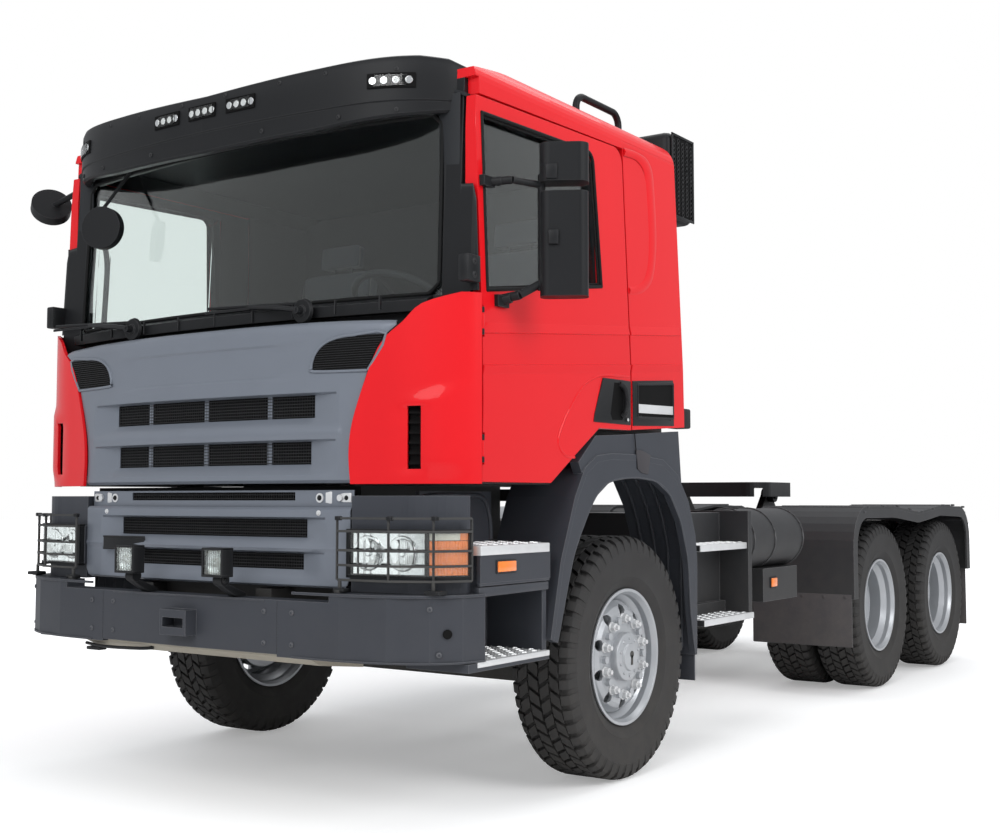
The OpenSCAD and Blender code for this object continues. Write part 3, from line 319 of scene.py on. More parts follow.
def new_group(name, inputs, outputs):
    """An empty group with named sockets, and its input and output nodes."""
    tree = bpy.data.node_groups.new(name, "ShaderNodeTree")
    for label, kind, value in inputs:
        socket = tree.interface.new_socket(name=label, in_out="INPUT", socket_type=kind)
        if value is not None:
            socket.default_value = value
    for label, kind in outputs:
        tree.interface.new_socket(name=label, in_out="OUTPUT", socket_type=kind)
    return tree, tree.nodes.new("NodeGroupInput"), tree.nodes.new("NodeGroupOutput")


def node(tree, kind, settings=None, **inputs):
    """Adds a node, sets it up, and fills its inputs with values or links.

    An input is given by its name, with an underscore for a space, or by i and its number.
    """
    made = tree.nodes.new(kind)
    for key, value in (settings or {}).items():
        setattr(made, key, value)
    for key, value in inputs.items():
        socket = made.inputs[int(key[1:]) if key[1:].isdigit() else key.replace("_", " ")]
        if isinstance(value, bpy.types.NodeSocket):
            tree.links.new(value, socket)
        else:
            socket.default_value = value
    return made


def maths(tree, operation, a, b, clamp=False):
    """The result of a sum on two values."""
    return node(tree, "ShaderNodeMath", {"operation": operation, "use_clamp": clamp}, i0=a, i1=b).outputs[0]


def mixed(tree, share, a, b):
    """A colour between a and b."""
    return node(tree, "ShaderNodeMix", {"data_type": "RGBA"}, i0=share, i6=a, i7=b).outputs[2]


def weathering_group():
    """Cloudy shade, and dust that thins out with height."""
    tree, given, result = new_group(
        "Weathering",
        [("Vector", "NodeSocketVector", None), ("Colour", "NodeSocketColor", None),
         ("Shade", "NodeSocketColor", None), ("Dust Colour", "NodeSocketColor", None),
         ("Dust", "NodeSocketFloat", 0.2), ("Roughness", "NodeSocketFloat", 0.5),
         ("Scale", "NodeSocketFloat", 3.0)],
        [("Colour", "NodeSocketColor"), ("Roughness", "NodeSocketFloat")])
    put = given.outputs
    clouds = node(tree, "ShaderNodeTexNoise", Vector=put["Vector"], Scale=put["Scale"], Detail=5.0)
    share = maths(tree, "MULTIPLY", maths(tree, "SUBTRACT", clouds.outputs["Fac"], 0.42, True), 1.6, True)
    base = mixed(tree, share, put["Colour"], put["Shade"])
    height = node(tree, "ShaderNodeSeparateXYZ", i0=put["Vector"]).outputs["Z"]
    low = node(tree, "ShaderNodeMapRange", i0=height, i1=1.25, i2=0.1, i3=0.12, i4=1.0).outputs[0]
    specks = node(tree, "ShaderNodeTexNoise", Vector=put["Vector"], Scale=14.0, Detail=8.0, Roughness=0.7)
    dust = maths(tree, "MULTIPLY", maths(tree, "MULTIPLY", specks.outputs["Fac"], low), put["Dust"], True)
    tree.links.new(mixed(tree, dust, base, put["Dust Colour"]), result.inputs["Colour"])
    rough = maths(tree, "ADD", put["Roughness"], maths(tree, "MULTIPLY", share, 0.08))
    rough = maths(tree, "ADD", rough, maths(tree, "MULTIPLY", dust, 0.35), True)
    tree.links.new(rough, result.inputs["Roughness"])
    return tree


def grain_group():
    """Fine pebble of moulded plastic and cast metal, as a height."""
    tree, given, result = new_group(
        "Grain", [("Vector", "NodeSocketVector", None), ("Scale", "NodeSocketFloat", 400.0)],
        [("Height", "NodeSocketFloat")])
    cells = node(tree, "ShaderNodeTexVoronoi", {"feature": "SMOOTH_F1"}, Vector=given.outputs["Vector"],
                 Scale=given.outputs["Scale"])
    waves = node(tree, "ShaderNodeTexNoise", Vector=given.outputs["Vector"], Scale=18.0, Detail=3.0)
    height = maths(tree, "ADD", cells.outputs["Distance"], maths(tree, "MULTIPLY", waves.outputs["Fac"], 1.4))
    tree.links.new(height, result.inputs["Height"])
    return tree


def edge_group():
    """Rounds the shading of hard edges, and says where they are."""
    tree, given, result = new_group(
        "Soft Edge", [("Radius", "NodeSocketFloat", 0.004)],
        [("Normal", "NodeSocketVector"), ("Edge", "NodeSocketFloat")])
    bevel = node(tree, "ShaderNodeBevel", {"samples": 5}, Radius=given.outputs["Radius"])
    flat = node(tree, "ShaderNodeNewGeometry").outputs["True Normal"]
    dot = node(tree, "ShaderNodeVectorMath", {"operation": "DOT_PRODUCT"}, i0=bevel.outputs[0], i1=flat)
    edge = maths(tree, "MULTIPLY", maths(tree, "SUBTRACT", 1.0, dot.outputs["Value"]), 6.0, True)
    tree.links.new(bevel.outputs[0], result.inputs["Normal"])
    tree.links.new(edge, result.inputs["Edge"])
    return tree


# ---- finishes ----

FINISHES = {}
GROUPS = {}


def finish(name, base, rough, metal=0.0, shade_by=0.82, dust=0.1, scale=3.0, grain=None, depth=0.0002,
           soft=0.004, wear=0.0, wear_colour=(0.45, 0.45, 0.46, 1.0), **plain):
    """A material whose colour, roughness and surface change over the piece."""
    material = bpy.data.materials.new(name)
    material.use_nodes = True
    tree = material.node_tree
    shader = tree.nodes["Principled BSDF"]
    shader.inputs["Metallic"].default_value = metal
    for key, value in plain.items():
        shader.inputs[key.replace("_", " ")].default_value = value
    place = node(tree, "ShaderNodeTexCoord").outputs["Object"]
    darker = [c * shade_by for c in base[:3]] + [1.0]
    dust_colour = bpy.context.scene.tractor_colours.dust
    weather = node(tree, "ShaderNodeGroup", {"node_tree": GROUPS["weather"]}, Vector=place, Colour=tuple(base),
                   Shade=darker, Dust_Colour=tuple(dust_colour), Dust=dust, Roughness=rough, Scale=scale)
    edges = node(tree, "ShaderNodeGroup", {"node_tree": GROUPS["edge"]}, Radius=soft)
    tint = weather.outputs["Colour"]
    if wear:
        share = maths(tree, "MULTIPLY", edges.outputs["Edge"], wear, True)
        tint = mixed(tree, share, tint, wear_colour)
    tree.links.new(tint, shader.inputs["Base Color"])
    tree.links.new(weather.outputs["Roughness"], shader.inputs["Roughness"])
    normal = edges.outputs["Normal"]
    if grain:
        pebble = node(tree, "ShaderNodeGroup", {"node_tree": GROUPS["grain"]}, Vector=place, Scale=grain)
        normal = node(tree, "ShaderNodeBump", Strength=0.6, Distance=depth, Height=pebble.outputs["Height"],
                      Normal=normal).outputs[0]
    tree.links.new(normal, shader.inputs["Normal"])
    FINISHES[name] = material
    return tree, shader, place


def cab_paint(c):
    finish("cab paint", c.cab, 0.36, shade_by=0.93, dust=0.03, scale=1.3, grain=60.0, depth=0.00003,
           Coat_Weight=0.3, Coat_Roughness=0.03, Specular_IOR_Level=0.12)


def grille_paint(c):
    finish("grille paint", c.grille, 0.36, metal=0.25, shade_by=0.9, dust=0.06, grain=900.0, depth=0.00004,
           Coat_Weight=0.2, Coat_Roughness=0.22, Specular_IOR_Level=0.3)


def slate_plastic(c):
    finish("slate plastic", c.slate, 0.48, shade_by=0.85, dust=0.1, grain=700.0, depth=0.0001, wear=0.25,
           Specular_IOR_Level=0.25)


def black_plastic(c):
    finish("black plastic", c.black, 0.42, shade_by=0.8, dust=0.03, grain=650.0, depth=0.0001, wear=0.1,
           Specular_IOR_Level=0.15)


def guard_plastic(c):
    finish("guard plastic", c.guard, 0.5, shade_by=0.8, dust=0.18, grain=500.0, depth=0.00015, wear=0.3,
           Specular_IOR_Level=0.3)


# Near-black for black parts and dark joints, and for painted shade: sheets and patches put in openings, hollows and
# behind slots.
def deep_black(c):
    finish("deep black", shade("0A0A0B"), 0.65, dust=0.04, grain=300.0, Specular_IOR_Level=0.1)


def seal_rubber(c):
    finish("seal rubber", shade("121314"), 0.55, dust=0.05, grain=900.0, Specular_IOR_Level=0.15)


def flap_rubber(c):
    finish("flap rubber", c.flap, 0.72, shade_by=0.75, dust=0.35, scale=2.0, grain=250.0, depth=0.0004)


def tyre_rubber(c):
    finish("tyre rubber", c.tyre, 0.74, shade_by=0.7, dust=0.16, scale=5.0, grain=420.0, depth=0.0003,
           soft=0.003, wear=0.35, wear_colour=(0.06, 0.058, 0.056, 1.0))


def wheel_silver(c):
    finish("wheel silver", c.wheel, 0.34, metal=0.55, shade_by=0.86, dust=0.12, scale=6.0, grain=800.0,
           depth=0.00006, Coat_Weight=0.3, Coat_Roughness=0.2)


def bright_metal(c):
    finish("bright metal", c.bright, 0.36, metal=0.45, shade_by=0.8, dust=0.12, scale=9.0, grain=350.0,
           soft=0.002)


def chassis_paint(c):
    finish("chassis paint", c.chassis, 0.5, shade_by=0.7, dust=0.3, scale=4.0, grain=180.0, depth=0.0003)


def cast_iron(c):
    finish("cast iron", shade("3A3B3C"), 0.62, metal=0.3, shade_by=0.6, dust=0.35, scale=6.0, grain=160.0,
           depth=0.0005)


def shield_metal(c):
    finish("shield metal", shade("B5AE9F"), 0.5, metal=0.35, shade_by=0.75, dust=0.6, scale=5.0, grain=120.0,
           depth=0.0003)


def tank_metal(c):
    finish("tank metal", shade("B4B7BA"), 0.3, metal=0.85, shade_by=0.85, dust=0.15, scale=2.0, grain=240.0,
           depth=0.00008)


def greased_steel(c):
    finish("greased steel", shade("202123"), 0.38, metal=0.5, shade_by=0.5, dust=0.1, scale=8.0, grain=90.0,
           depth=0.0006)


def chrome(c):
    finish("chrome", shade("DADCDD"), 0.08, metal=1.0, shade_by=0.9, dust=0.0, scale=30.0)


def cab_trim(c):
    finish("cab trim", c.trim, 0.6, shade_by=0.85, dust=0.05, grain=380.0, depth=0.0004, Specular_IOR_Level=0.2)


def amber_lens(c):
    finish("amber lens", c.amber, 0.12, shade_by=0.8, dust=0.02, scale=40.0, Coat_Weight=1.0,
           Coat_Roughness=0.03, Emission_Color=shade("F07A08"), Emission_Strength=0.12)


def pale_lens(c):
    finish("pale lens", shade("D9D6C8"), 0.15, shade_by=0.85, dust=0.02, scale=40.0, Coat_Weight=1.0,
           Coat_Roughness=0.03)


def red_lens(c):
    finish("red lens", c.tail, 0.14, shade_by=0.7, dust=0.05, scale=40.0, Coat_Weight=1.0, Coat_Roughness=0.04)


def pane(name, tint, rough):
    """Clear glass or plastic, with a flat surface."""
    tree, shader, _ = finish(name, tint, rough, shade_by=0.97, dust=0.0, scale=1.2, soft=0.001,
                             Transmission_Weight=1.0, IOR=1.45)
    tree.links.remove(shader.inputs["Normal"].links[0])


def window_glass(c):
    pane("window glass", c.glass, 0.0)


def lens_glass(c):
    pane("lens glass", shade("F2F5F4"), 0.02)


def seat_fabric(c):
    """Cloth with a weave, whose height is the product of two sets of bands."""
    tree, shader, place = finish("seat fabric", c.fabric, 0.85, shade_by=0.7, dust=0.03, scale=25.0,
                                 Sheen_Weight=0.3)
    weave = [node(tree, "ShaderNodeTexWave", {"bands_direction": way}, Vector=place,
                  Scale=150.0).outputs["Fac"] for way in ("X", "Z")]
    height = maths(tree, "MULTIPLY", *weave)
    bump = node(tree, "ShaderNodeBump", Strength=0.5, Distance=0.0006, Height=height)
    tree.links.new(bump.outputs[0], shader.inputs["Normal"])


# The finish of each CAD node that stays in view
NODE_FINISH = {
    "cab paint": ["cab_sides", "cab_roof", "cab_back_wall", "corner_panels", "door_left", "door_right"],
    "slate plastic": ["bumper", "entry_steps", "front_fenders", "headlamps"],
    "black plastic": ["cab_front_frame", "sun_visor", "air_intake", "roof_rail", "wipers", "front_mirror",
                      "mirrors_left", "mirrors_right"],
    "guard plastic": ["rear_mudguards", "battery_box", "air_tanks"],
    "chassis paint": ["ladder_frame", "drive_axles", "front_axle", "leaf_springs", "propshafts", "knuckle_left",
                      "knuckle_right", "fifth_wheel_base", "cab_floor"],
    "cast iron": ["engine", "headlamp_guards"],
    "greased steel": ["fifth_wheel"],
    "shield metal": ["undershield"],
    "tank metal": ["fuel_tank", "silencer"],
    "wheel silver": ["rim_front_left", "rim_front_right", "rim_mid_left", "rim_mid_right", "rim_rear_left",
                     "rim_rear_right"],
    "window glass": ["windscreen", "door_glass_left", "door_glass_right"],
    "red lens": ["tail_lamps"],
    "cab trim": ["dashboard", "steering_wheel"],
}


def paint_nodes():
    """Makes the finishes, and gives each CAD node that stays in view its own."""
    colours = bpy.context.scene.tractor_colours
    GROUPS.update(weather=weathering_group(), grain=grain_group(), edge=edge_group())
    for make in (cab_paint, grille_paint, slate_plastic, black_plastic, guard_plastic, deep_black, seal_rubber,
                 flap_rubber, tyre_rubber, wheel_silver, bright_metal, chassis_paint, cast_iron, shield_metal,
                 tank_metal, greased_steel, chrome, cab_trim, amber_lens, pale_lens, red_lens, window_glass,
                 lens_glass, seat_fabric):
        make(colours)
    for name, nodes in NODE_FINISH.items():
        for member in nodes:
            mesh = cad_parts[member].data
            mesh.materials.clear()
            mesh.materials.append(FINISHES[name])


# ---- stage ----

def set_stage():
    """The camera, the surroundings, the floor and three soft lamps."""
    sizes = bpy.context.scene.tractor_sizes
    scene = bpy.context.scene
    scene.view_settings.view_transform = "Standard"
    lens = bpy.data.cameras.new("camera")
    lens.lens = sizes.camera_lens
    lens.sensor_width = 36.0
    camera = bpy.data.objects.new("camera", lens)
    camera.location = sizes.camera_place
    camera.rotation_euler = (math.pi / 2 + sizes.camera_pitch, 0, sizes.camera_turn)
    scene.collection.objects.link(camera)
    scene.camera = camera

    world = bpy.data.worlds.new("studio")
    world.use_nodes = True
    scene.world = world
    tree = world.node_tree
    seen = seen_directly(tree)
    around_light, backdrop = tree.nodes["Background"], tree.nodes.new("ShaderNodeBackground")
    around_light.inputs["Color"].default_value = (0.95, 0.97, 1.0, 1.0)
    around_light.inputs["Strength"].default_value = 0.66
    backdrop.inputs["Color"].default_value = WHITE
    blend = node(tree, "ShaderNodeMixShader", i0=seen, i1=around_light.outputs[0], i2=backdrop.outputs[0])
    tree.links.new(blend.outputs[0], tree.nodes["World Output"].inputs["Surface"])

    bm = bmesh.new()
    bmesh.ops.create_grid(bm, x_segments=1, y_segments=1, size=60.0)
    mesh = bpy.data.meshes.new("floor")
    bm.to_mesh(mesh)
    bm.free()
    floor = bpy.data.objects.new("floor", mesh)
    scene.collection.objects.link(floor)
    mesh.materials.append(floor_paint())

    soft_lamp("front_lamp", (1.5, -11.0, 7.0), (0, -1.5, 1.5), 6.0, 430.0)
    soft_lamp("side_lamp", (9.0, -3.0, 6.0), (0.5, 0, 1.4), 5.0, 400.0)
    soft_lamp("top_lamp", (1.0, 1.5, 9.0), (0, 0, 0), 7.0, 240.0)


def seen_directly(tree):
    """1 for what the camera sees, straight or through glass."""
    path = tree.nodes.new("ShaderNodeLightPath").outputs
    return maths(tree, "MAXIMUM", path["Is Camera Ray"], path["Is Transmission Ray"])


def floor_paint():
    """A pale floor that keeps the shadow and turns white away from the tractor unit."""
    material = bpy.data.materials.new("studio floor")
    material.use_nodes = True
    tree = material.node_tree
    shader = tree.nodes["Principled BSDF"]
    place = node(tree, "ShaderNodeTexCoord").outputs["Object"]
    cloud = node(tree, "ShaderNodeTexNoise", Vector=place, Scale=0.3)
    tint = mixed(tree, cloud.outputs["Fac"], (0.86, 0.86, 0.86, 1), (0.89, 0.89, 0.89, 1))
    tree.links.new(tint, shader.inputs["Base Color"])
    shader.inputs["Roughness"].default_value = 0.55
    shader.inputs["Specular IOR Level"].default_value = 0.15
    shader.inputs["Emission Color"].default_value = WHITE
    away = node(tree, "ShaderNodeVectorMath", {"operation": "LENGTH"}, i0=place).outputs["Value"]
    fade = node(tree, "ShaderNodeMapRange", i0=away, i1=3.0, i2=13.0, i3=0.3, i4=1.0).outputs[0]
    glow = maths(tree, "MULTIPLY", seen_directly(tree), fade)
    tree.links.new(glow, shader.inputs["Emission Strength"])
    return material


def soft_lamp(name, place, aim, size, power):
    """A square lamp that points at aim."""
    light = bpy.data.lights.new(name, "AREA")
    light.shape = "SQUARE"
    light.size = size
    light.energy = power
    lamp = bpy.data.objects.new(name, light)
    lamp.location = place
    lamp.rotation_euler = (Vector(aim) - Vector(place)).to_track_quat("-Z", "Y").to_euler()
    bpy.context.scene.collection.objects.link(lamp)


# ---- front ----

def lid_front(x):
    """Y of the grille lid's skin."""
    return -1428 + 88 * (x / 1000) ** 2


def grille_front(x):
    """Y of the lower grille's skin."""
    return -1410 + 38 * (x / 770) ** 2


def screen_front(x, z):
    """Y of the windscreen's outer face."""
    return -1298 + 93 * (x / 1000) ** 2 + (z - 2008) * 0.0524


# Half widths at heights: the edge of the lid, and the face of the cab's side
LID_EDGE = [(1292, 773), (1420, 766), (1560, 790), (1800, 880), (1894, 968), (1920, 955)]
LID_EDGE = smooth_line(LID_EDGE[:-1], 5) + LID_EDGE[-1:]
SIDE_X = [(1200, 1228), (1600, 1236), (1850, 1232), (2150, 1220), (2700, 1198)]


def tray(x, z, half, low, high, side_run, low_run, high_run, depth):
    """Depth of a pressed tray whose walls slope in from its outline."""
    inside = min((half - abs(x)) / side_run, (z - low) / low_run, (high - z) / high_run)
    return depth * max(0.0, min(1.0, inside))


def relief(bm, xs, zs, surface, holes, wall):
    """A pressed sheet over stations xs and zs. surface gives a station's place, and holes are left open."""
    verts = bmesh.ops.create_grid(bm, x_segments=len(xs) - 1, y_segments=len(zs) - 1, size=1.0)["verts"]

    def station(co):
        return (co.x + 1) / 2 * (len(xs) - 1), (co.y + 1) / 2 * (len(zs) - 1)

    open_faces = []
    for face in bm.faces:
        i, j = station(face.calc_center_median())
        x = (xs[int(i)] + xs[int(i) + 1]) / 2
        z = (zs[int(j)] + zs[int(j) + 1]) / 2
        if any(x0 < x < x1 and z0 < z < z1 for x0, x1, z0, z1 in holes):
            open_faces.append(face)
    for v in verts:
        i, j = station(v.co)
        v.co = at(*surface(xs[round(i)], zs[round(j)]))
    bmesh.ops.delete(bm, geom=open_faces, context="FACES")
    bmesh.ops.recalc_face_normals(bm, faces=bm.faces)
    if sum(f.normal.y for f in bm.faces) > 0:
        bmesh.ops.reverse_faces(bm, faces=bm.faces)
    bmesh.ops.solidify(bm, geom=bm.faces[:], thickness=wall * MM)


def stations(*marks, step=60):
    """Marks with more stations between them where they lie far apart."""
    line = [marks[0]]
    for a, b in zip(marks, marks[1:]):
        count = max(1, math.ceil((b - a) / step))
        line += [a + (b - a) * (i + 1) / count for i in range(count)]
    return line


def even(half):
    """Stations from 0 outwards, taken to both sides."""
    return [-x for x in half[:0:-1]] + half


TRAY = 35           # depth of the lid's slot trays
LOWER_TRAY = 31     # and of the lower grille's


def lid_surface(x, z):
    """The lid's skin: two slot trays, a shallow tray above them, a ridge between, and turned-in edges."""
    edge = between(LID_EDGE, z)
    beyond = max(0.0, (abs(x) - 720) / 240)
    real = min(abs(x), 720) + beyond * (edge - 720)
    depth = (tray(x, z, 716, 1506, 1642, 138, 41, 7, TRAY) + tray(x, z, 704, 1324, 1461, 142, 42, 7, TRAY)
             + tray(x, z, 520, 1698, 1838, 70, 9, 8, 7))
    depth -= 6 * max(0.0, 1 - abs(z - 1484) / 24) * (abs(x) < 760)
    depth += 20 * max(0.0, (z - 1896) / 24) ** 2 + 14 * max(0.0, (1304 - z) / 12) + 16 * max(0.0, beyond - 0.9)
    top = 1920 - 15 * (real / 955) ** 4
    level = z if z < 1850 else 1850 + (z - 1850) * (top - 1850) / 70
    return math.copysign(real, x), lid_front(real) + depth, level


def wire_mesh(bm, x0, x1, z0, z1, front):
    """Woven wires in an opening, upright ones behind level ones."""
    sizes = bpy.context.scene.tractor_sizes
    pitch, wire = sizes.mesh_pitch / MM, sizes.mesh_wire / MM
    count = round((x1 - x0) / pitch)
    for i in range(1, count):
        x = x0 + (x1 - x0) * i / count
        rod(bm, (x, front(x), z0), (x, front(x), z1), wire, sides=4)
    line = [x0 + (x1 - x0) * i / 8 for i in range(9)]
    rows = round((z1 - z0) / pitch)
    for j in range(1, rows):
        z = z0 + (z1 - z0) * j / rows
        pipe(bm, [(x, front(x) - wire, z) for x in line], wire, sides=4)


def painted_shade_sheet(bm, x0, x1, z0, z1, front, depth):
    """A dark sheet behind an opening, painted shade for the depth behind it."""
    line = [x0 + (x1 - x0) * i / 10 for i in range(11)]
    loft(bm, [[(x, front(x) + depth, z0), (x, front(x) + depth + 4, z0), (x, front(x) + depth + 4, z1),
               (x, front(x) + depth, z1)] for x in line])


# Outline of a corner vent, and half widths of its inner edge at heights for the mesh
VENT = [(846, 1718), (604, 1723), (590, 1738), (592, 1760), (606, 1792), (634, 1821), (675, 1841), (727, 1852),
        (780, 1855), (924, 1853)]
VENT_INNER = [(1718, 600), (1740, 594), (1790, 610), (1821, 640), (1841, 682), (1852, 735), (1856, 800)]
VENT_OUTER = [(1718, 842), (1853, 920)]


def build_lid():
    """The grille lid's pressed skin with its ribs and hinge pads, and what lies in its openings."""
    bm = bmesh.new()
    xs = even(stations(0, 450, 520, 562, 578, 640, 704, 716, 720, 800, 880, 936, 960, step=75))
    zs = stations(1292, 1304, 1324, 1345, 1366, 1454, 1461, 1472, 1484, 1496, 1506, 1526, 1547, 1635, 1642, 1668,
                  1698, 1707, 1830, 1838, 1850, 1872, 1896, 1908, 1920, step=28)
    relief(bm, xs, zs, lid_surface, [(-578, 578, 1547, 1635), (-562, 562, 1366, 1454)], PANEL)
    for side in (-1, 1):
        rim = smooth_line([(side * x, lid_front(x) - 1, z) for x, z in VENT + VENT[:1]], 3)
        pipe(bm, rim, 6.5, 8)
        block(bm, (side * 300 - 26, -1398, 1882), (side * 300 + 26, -1374, 1900), 3)
    for x in (-700, -350, 0, 350, 700):
        block(bm, (x - 12, lid_front(x) + 40, 1310), (x + 12, lid_front(x) + 46, 1880))
    piece("grille_lid_skin", bm, "grille paint", "grille_lid", ["front_grille"])

    bm = bmesh.new()
    for half, low, high in ((586, 1541, 1640), (570, 1360, 1459)):
        wire_mesh(bm, -half, half, low, high, lambda x: lid_front(x) + TRAY + 6)
    piece("grille_lid_mesh", bm, "black plastic", "grille_lid")

    # Painted shade: near-black sheets behind the lid's two slots stand for the dark space behind the mesh.
    bm = bmesh.new()
    for half, low, high in ((600, 1530, 1650), (590, 1350, 1470)):
        painted_shade_sheet(bm, -half, half, low, high, lid_front, TRAY + 10)
    piece("grille_lid_painted_shade_sheet", bm, "deep black", "grille_lid")

    # Painted shade: near-black patches in the corner vents' outlines stand for the dark openings behind their
    # wires.
    bm = bmesh.new()
    for side in (-1, 1):
        slab(bm, facing_front([(side * x, z) for x, z in VENT], -2.0), (0, 3, 0))
    for x in range(-900, 901, 50):
        parts = bm.verts[:] + bm.edges[:] + bm.faces[:]
        bmesh.ops.bisect_plane(bm, geom=parts, plane_co=at(x, 0, 0), plane_no=(1, 0, 0))
    piece("grille_lid_vent_shade", bm, "deep black", "grille_lid", bend=lid_front)
    bm = bmesh.new()
    for z in range(1726, 1853, 9):
        inner, outer = between(VENT_INNER, z), between(VENT_OUTER, z)
        for side in (-1, 1):
            line = [inner + 6 + (outer - inner - 12) * i / 6 for i in range(7)]
            pipe(bm, [(side * x, lid_front(x) - 3, z) for x in line], 1.6, 4)
    piece("grille_lid_vent_mesh", bm, "black plastic", "grille_lid")


def grille_surface(x, z):
    """The lower grille's skin: two slot trays with a ridge between, and turned-in edges."""
    edge = 768 - 30 * max(0.0, (925 - z) / 33) ** 2
    beyond = max(0.0, (abs(x) - 665) / 100)
    real = min(abs(x), 665) + beyond * (edge - 665)
    depth = (tray(x, z, 662, 1054, 1161, 122, 28, 8, LOWER_TRAY)
             + tray(x, z, 650, 903, 1028, 126, 55, 8, LOWER_TRAY)
             + 10 * max(0.0, (z - 1190) / 11) + 12 * max(0.0, (900 - z) / 8) + 12 * max(0.0, beyond - 0.9))
    depth -= 5 * max(0.0, 1 - abs(z - 1041) / 13)
    return math.copysign(real, x), grille_front(real) + depth, z


def build_lower_grille():
    """The lower grille, the slotted strip above it, its mesh, latch castings and a bare plate holder."""
    bm = bmesh.new()
    xs = even(stations(0, 524, 540, 600, 650, 662, 665, 710, 755, 765, step=75))
    zs = stations(892, 900, 903, 930, 958, 1020, 1028, 1041, 1054, 1082, 1153, 1161, 1190, 1201, step=40)
    relief(bm, xs, zs, grille_surface, [(-540, 540, 1082, 1153), (-524, 524, 958, 1020)], PANEL)
    piece("lower_grille_skin", bm, "grille paint", "chassis", ["lower_grille"])

    bm = bmesh.new()
    xs = even(stations(0, 478, 484, 560, 762, step=80))
    strip = stations(1196, 1218, 1226, 1258, 1266)
    relief(bm, xs, strip, lambda x, z: (x, grille_front(x) + LOWER_TRAY, z), [(-478, 478, 1226, 1258)], PANEL)
    piece("grille_strip", bm, "grille paint", "chassis")

    bm = bmesh.new()
    for half, low, high, behind in ((548, 1076, 1158, 7), (532, 952, 1026, 7), (486, 1220, 1262, 9)):
        wire_mesh(bm, -half, half, low, high, lambda x: grille_front(x) + (LOWER_TRAY + behind))
    piece("lower_grille_mesh", bm, "black plastic", "chassis")
    # Painted shade: a near-black sheet behind the lower grille stands for the dark space behind its mesh.
    bm = bmesh.new()
    painted_shade_sheet(bm, -765, 765, 900, 1280, grille_front, 2 * LOWER_TRAY)
    piece("lower_grille_painted_shade_sheet", bm, "deep black", "chassis")

    # latch castings at both ends of the strip, with their bolts
    bm = bmesh.new()
    front = grille_front(640) + 30
    block(bm, (512, front, 1212), (660, front + 24, 1262), 6)
    block(bm, (655, front + 6, 1218), (752, front + 26, 1256), 5)
    rod(bm, (600, front - 5, 1236), (600, front + 4, 1236), 19)
    rod(bm, (700, front - 4, 1236), (700, front + 8, 1236), 13)
    piece("latch_castings", bm, "bright metal", "chassis", both=True)
    bm = bmesh.new()
    bolt(bm, (600, front - 5, 1236), (0, -1, 0), 8, 7)
    bolt(bm, (540, front, 1236), (0, -1, 0), 7, 6)
    bolt(bm, (728, front + 6, 1236), (0, -1, 0), 7, 6)
    piece("latch_bolts", bm, "greased steel", "chassis", both=True)

    # bare holder for a plate
    bm = bmesh.new()
    front = grille_front(490)
    block(bm, (-618, front - 9, 1014), (-354, front - 3, 1074), 2)
    for z in (1018, 1070):
        rod(bm, (-616, front - 10, z), (-356, front - 10, z), 3)
    piece("plate_holder", bm, "black plastic", "chassis")
    bm = bmesh.new()
    for x in (620, -620):
        bolt(bm, (x, grille_front(x), 1178), (0, -1, 0), 8, 6)
    piece("grille_bolts", bm, "bright metal", "chassis")


# Half widths of the corner panel's inner edge at heights
LID_SIDE = smooth_line(
    [(1292, 779), (1420, 772), (1560, 796), (1800, 889), (1898, 992), (1962, 1060), (2004, 1186)], 5)
# The corner panel in plan, the crest of its swelling in front view, and X of the slot's ends and of
# the stations behind it
CORNER_PLAN = [(700, -1403), (770, -1390), (870, -1367), (950, -1350), (1020, -1330), (1080, -1303),
               (1120, -1280), (1160, -1254), (1195, -1228), (1222, -1201), (1236, -1174), (1239, -1148)]
CORNER_CURVE = smooth_line(CORNER_PLAN, 6)
RIDGE = [(985, 1590), (1056, 1640), (1240, 1700)]
SLOT = (1010, 1060)
BEHIND_SLOT = (1090, 1120, 1145, 1170, 1190, 1207, 1221, 1231, 1237)


def ease(value):
    """Rises smoothly from 0 to 1 as value does."""
    value = max(0.0, min(1.0, value))
    return value * value * (3 - 2 * value)


def corner_surface(station, z):
    """The corner panel's skin. Stations 0 to 5 run from the lid's edge to the slot, the rest beyond it."""
    edge = between(LID_SIDE, z) + 1
    if station <= 5:
        x = edge + (SLOT[0] - edge) * station / 5
    else:
        x = (SLOT[1], *BEHIND_SLOT)[int(station) - 6]
    x = max(x, edge)
    y = between(CORNER_CURVE, x)
    run = between(CORNER_CURVE, x + 4) - between(CORNER_CURVE, x - 4)
    nx, ny = run / math.hypot(8, run), -8 / math.hypot(8, run)
    # the swelling behind the slot, then the slot's own hollow
    proud = 11 * ease((between(RIDGE, x) - z) / 55) * ease((x - 995) / 80) * ease((1230 - x) / 90)
    proud *= ease((z - 1290) / 90)
    proud -= 8 * ease(1.4 - abs(x - 1035) / 44) * ease((1592 - z) / 26) * ease((z - 1318) / 26)
    return x + nx * proud, y + ny * proud, z


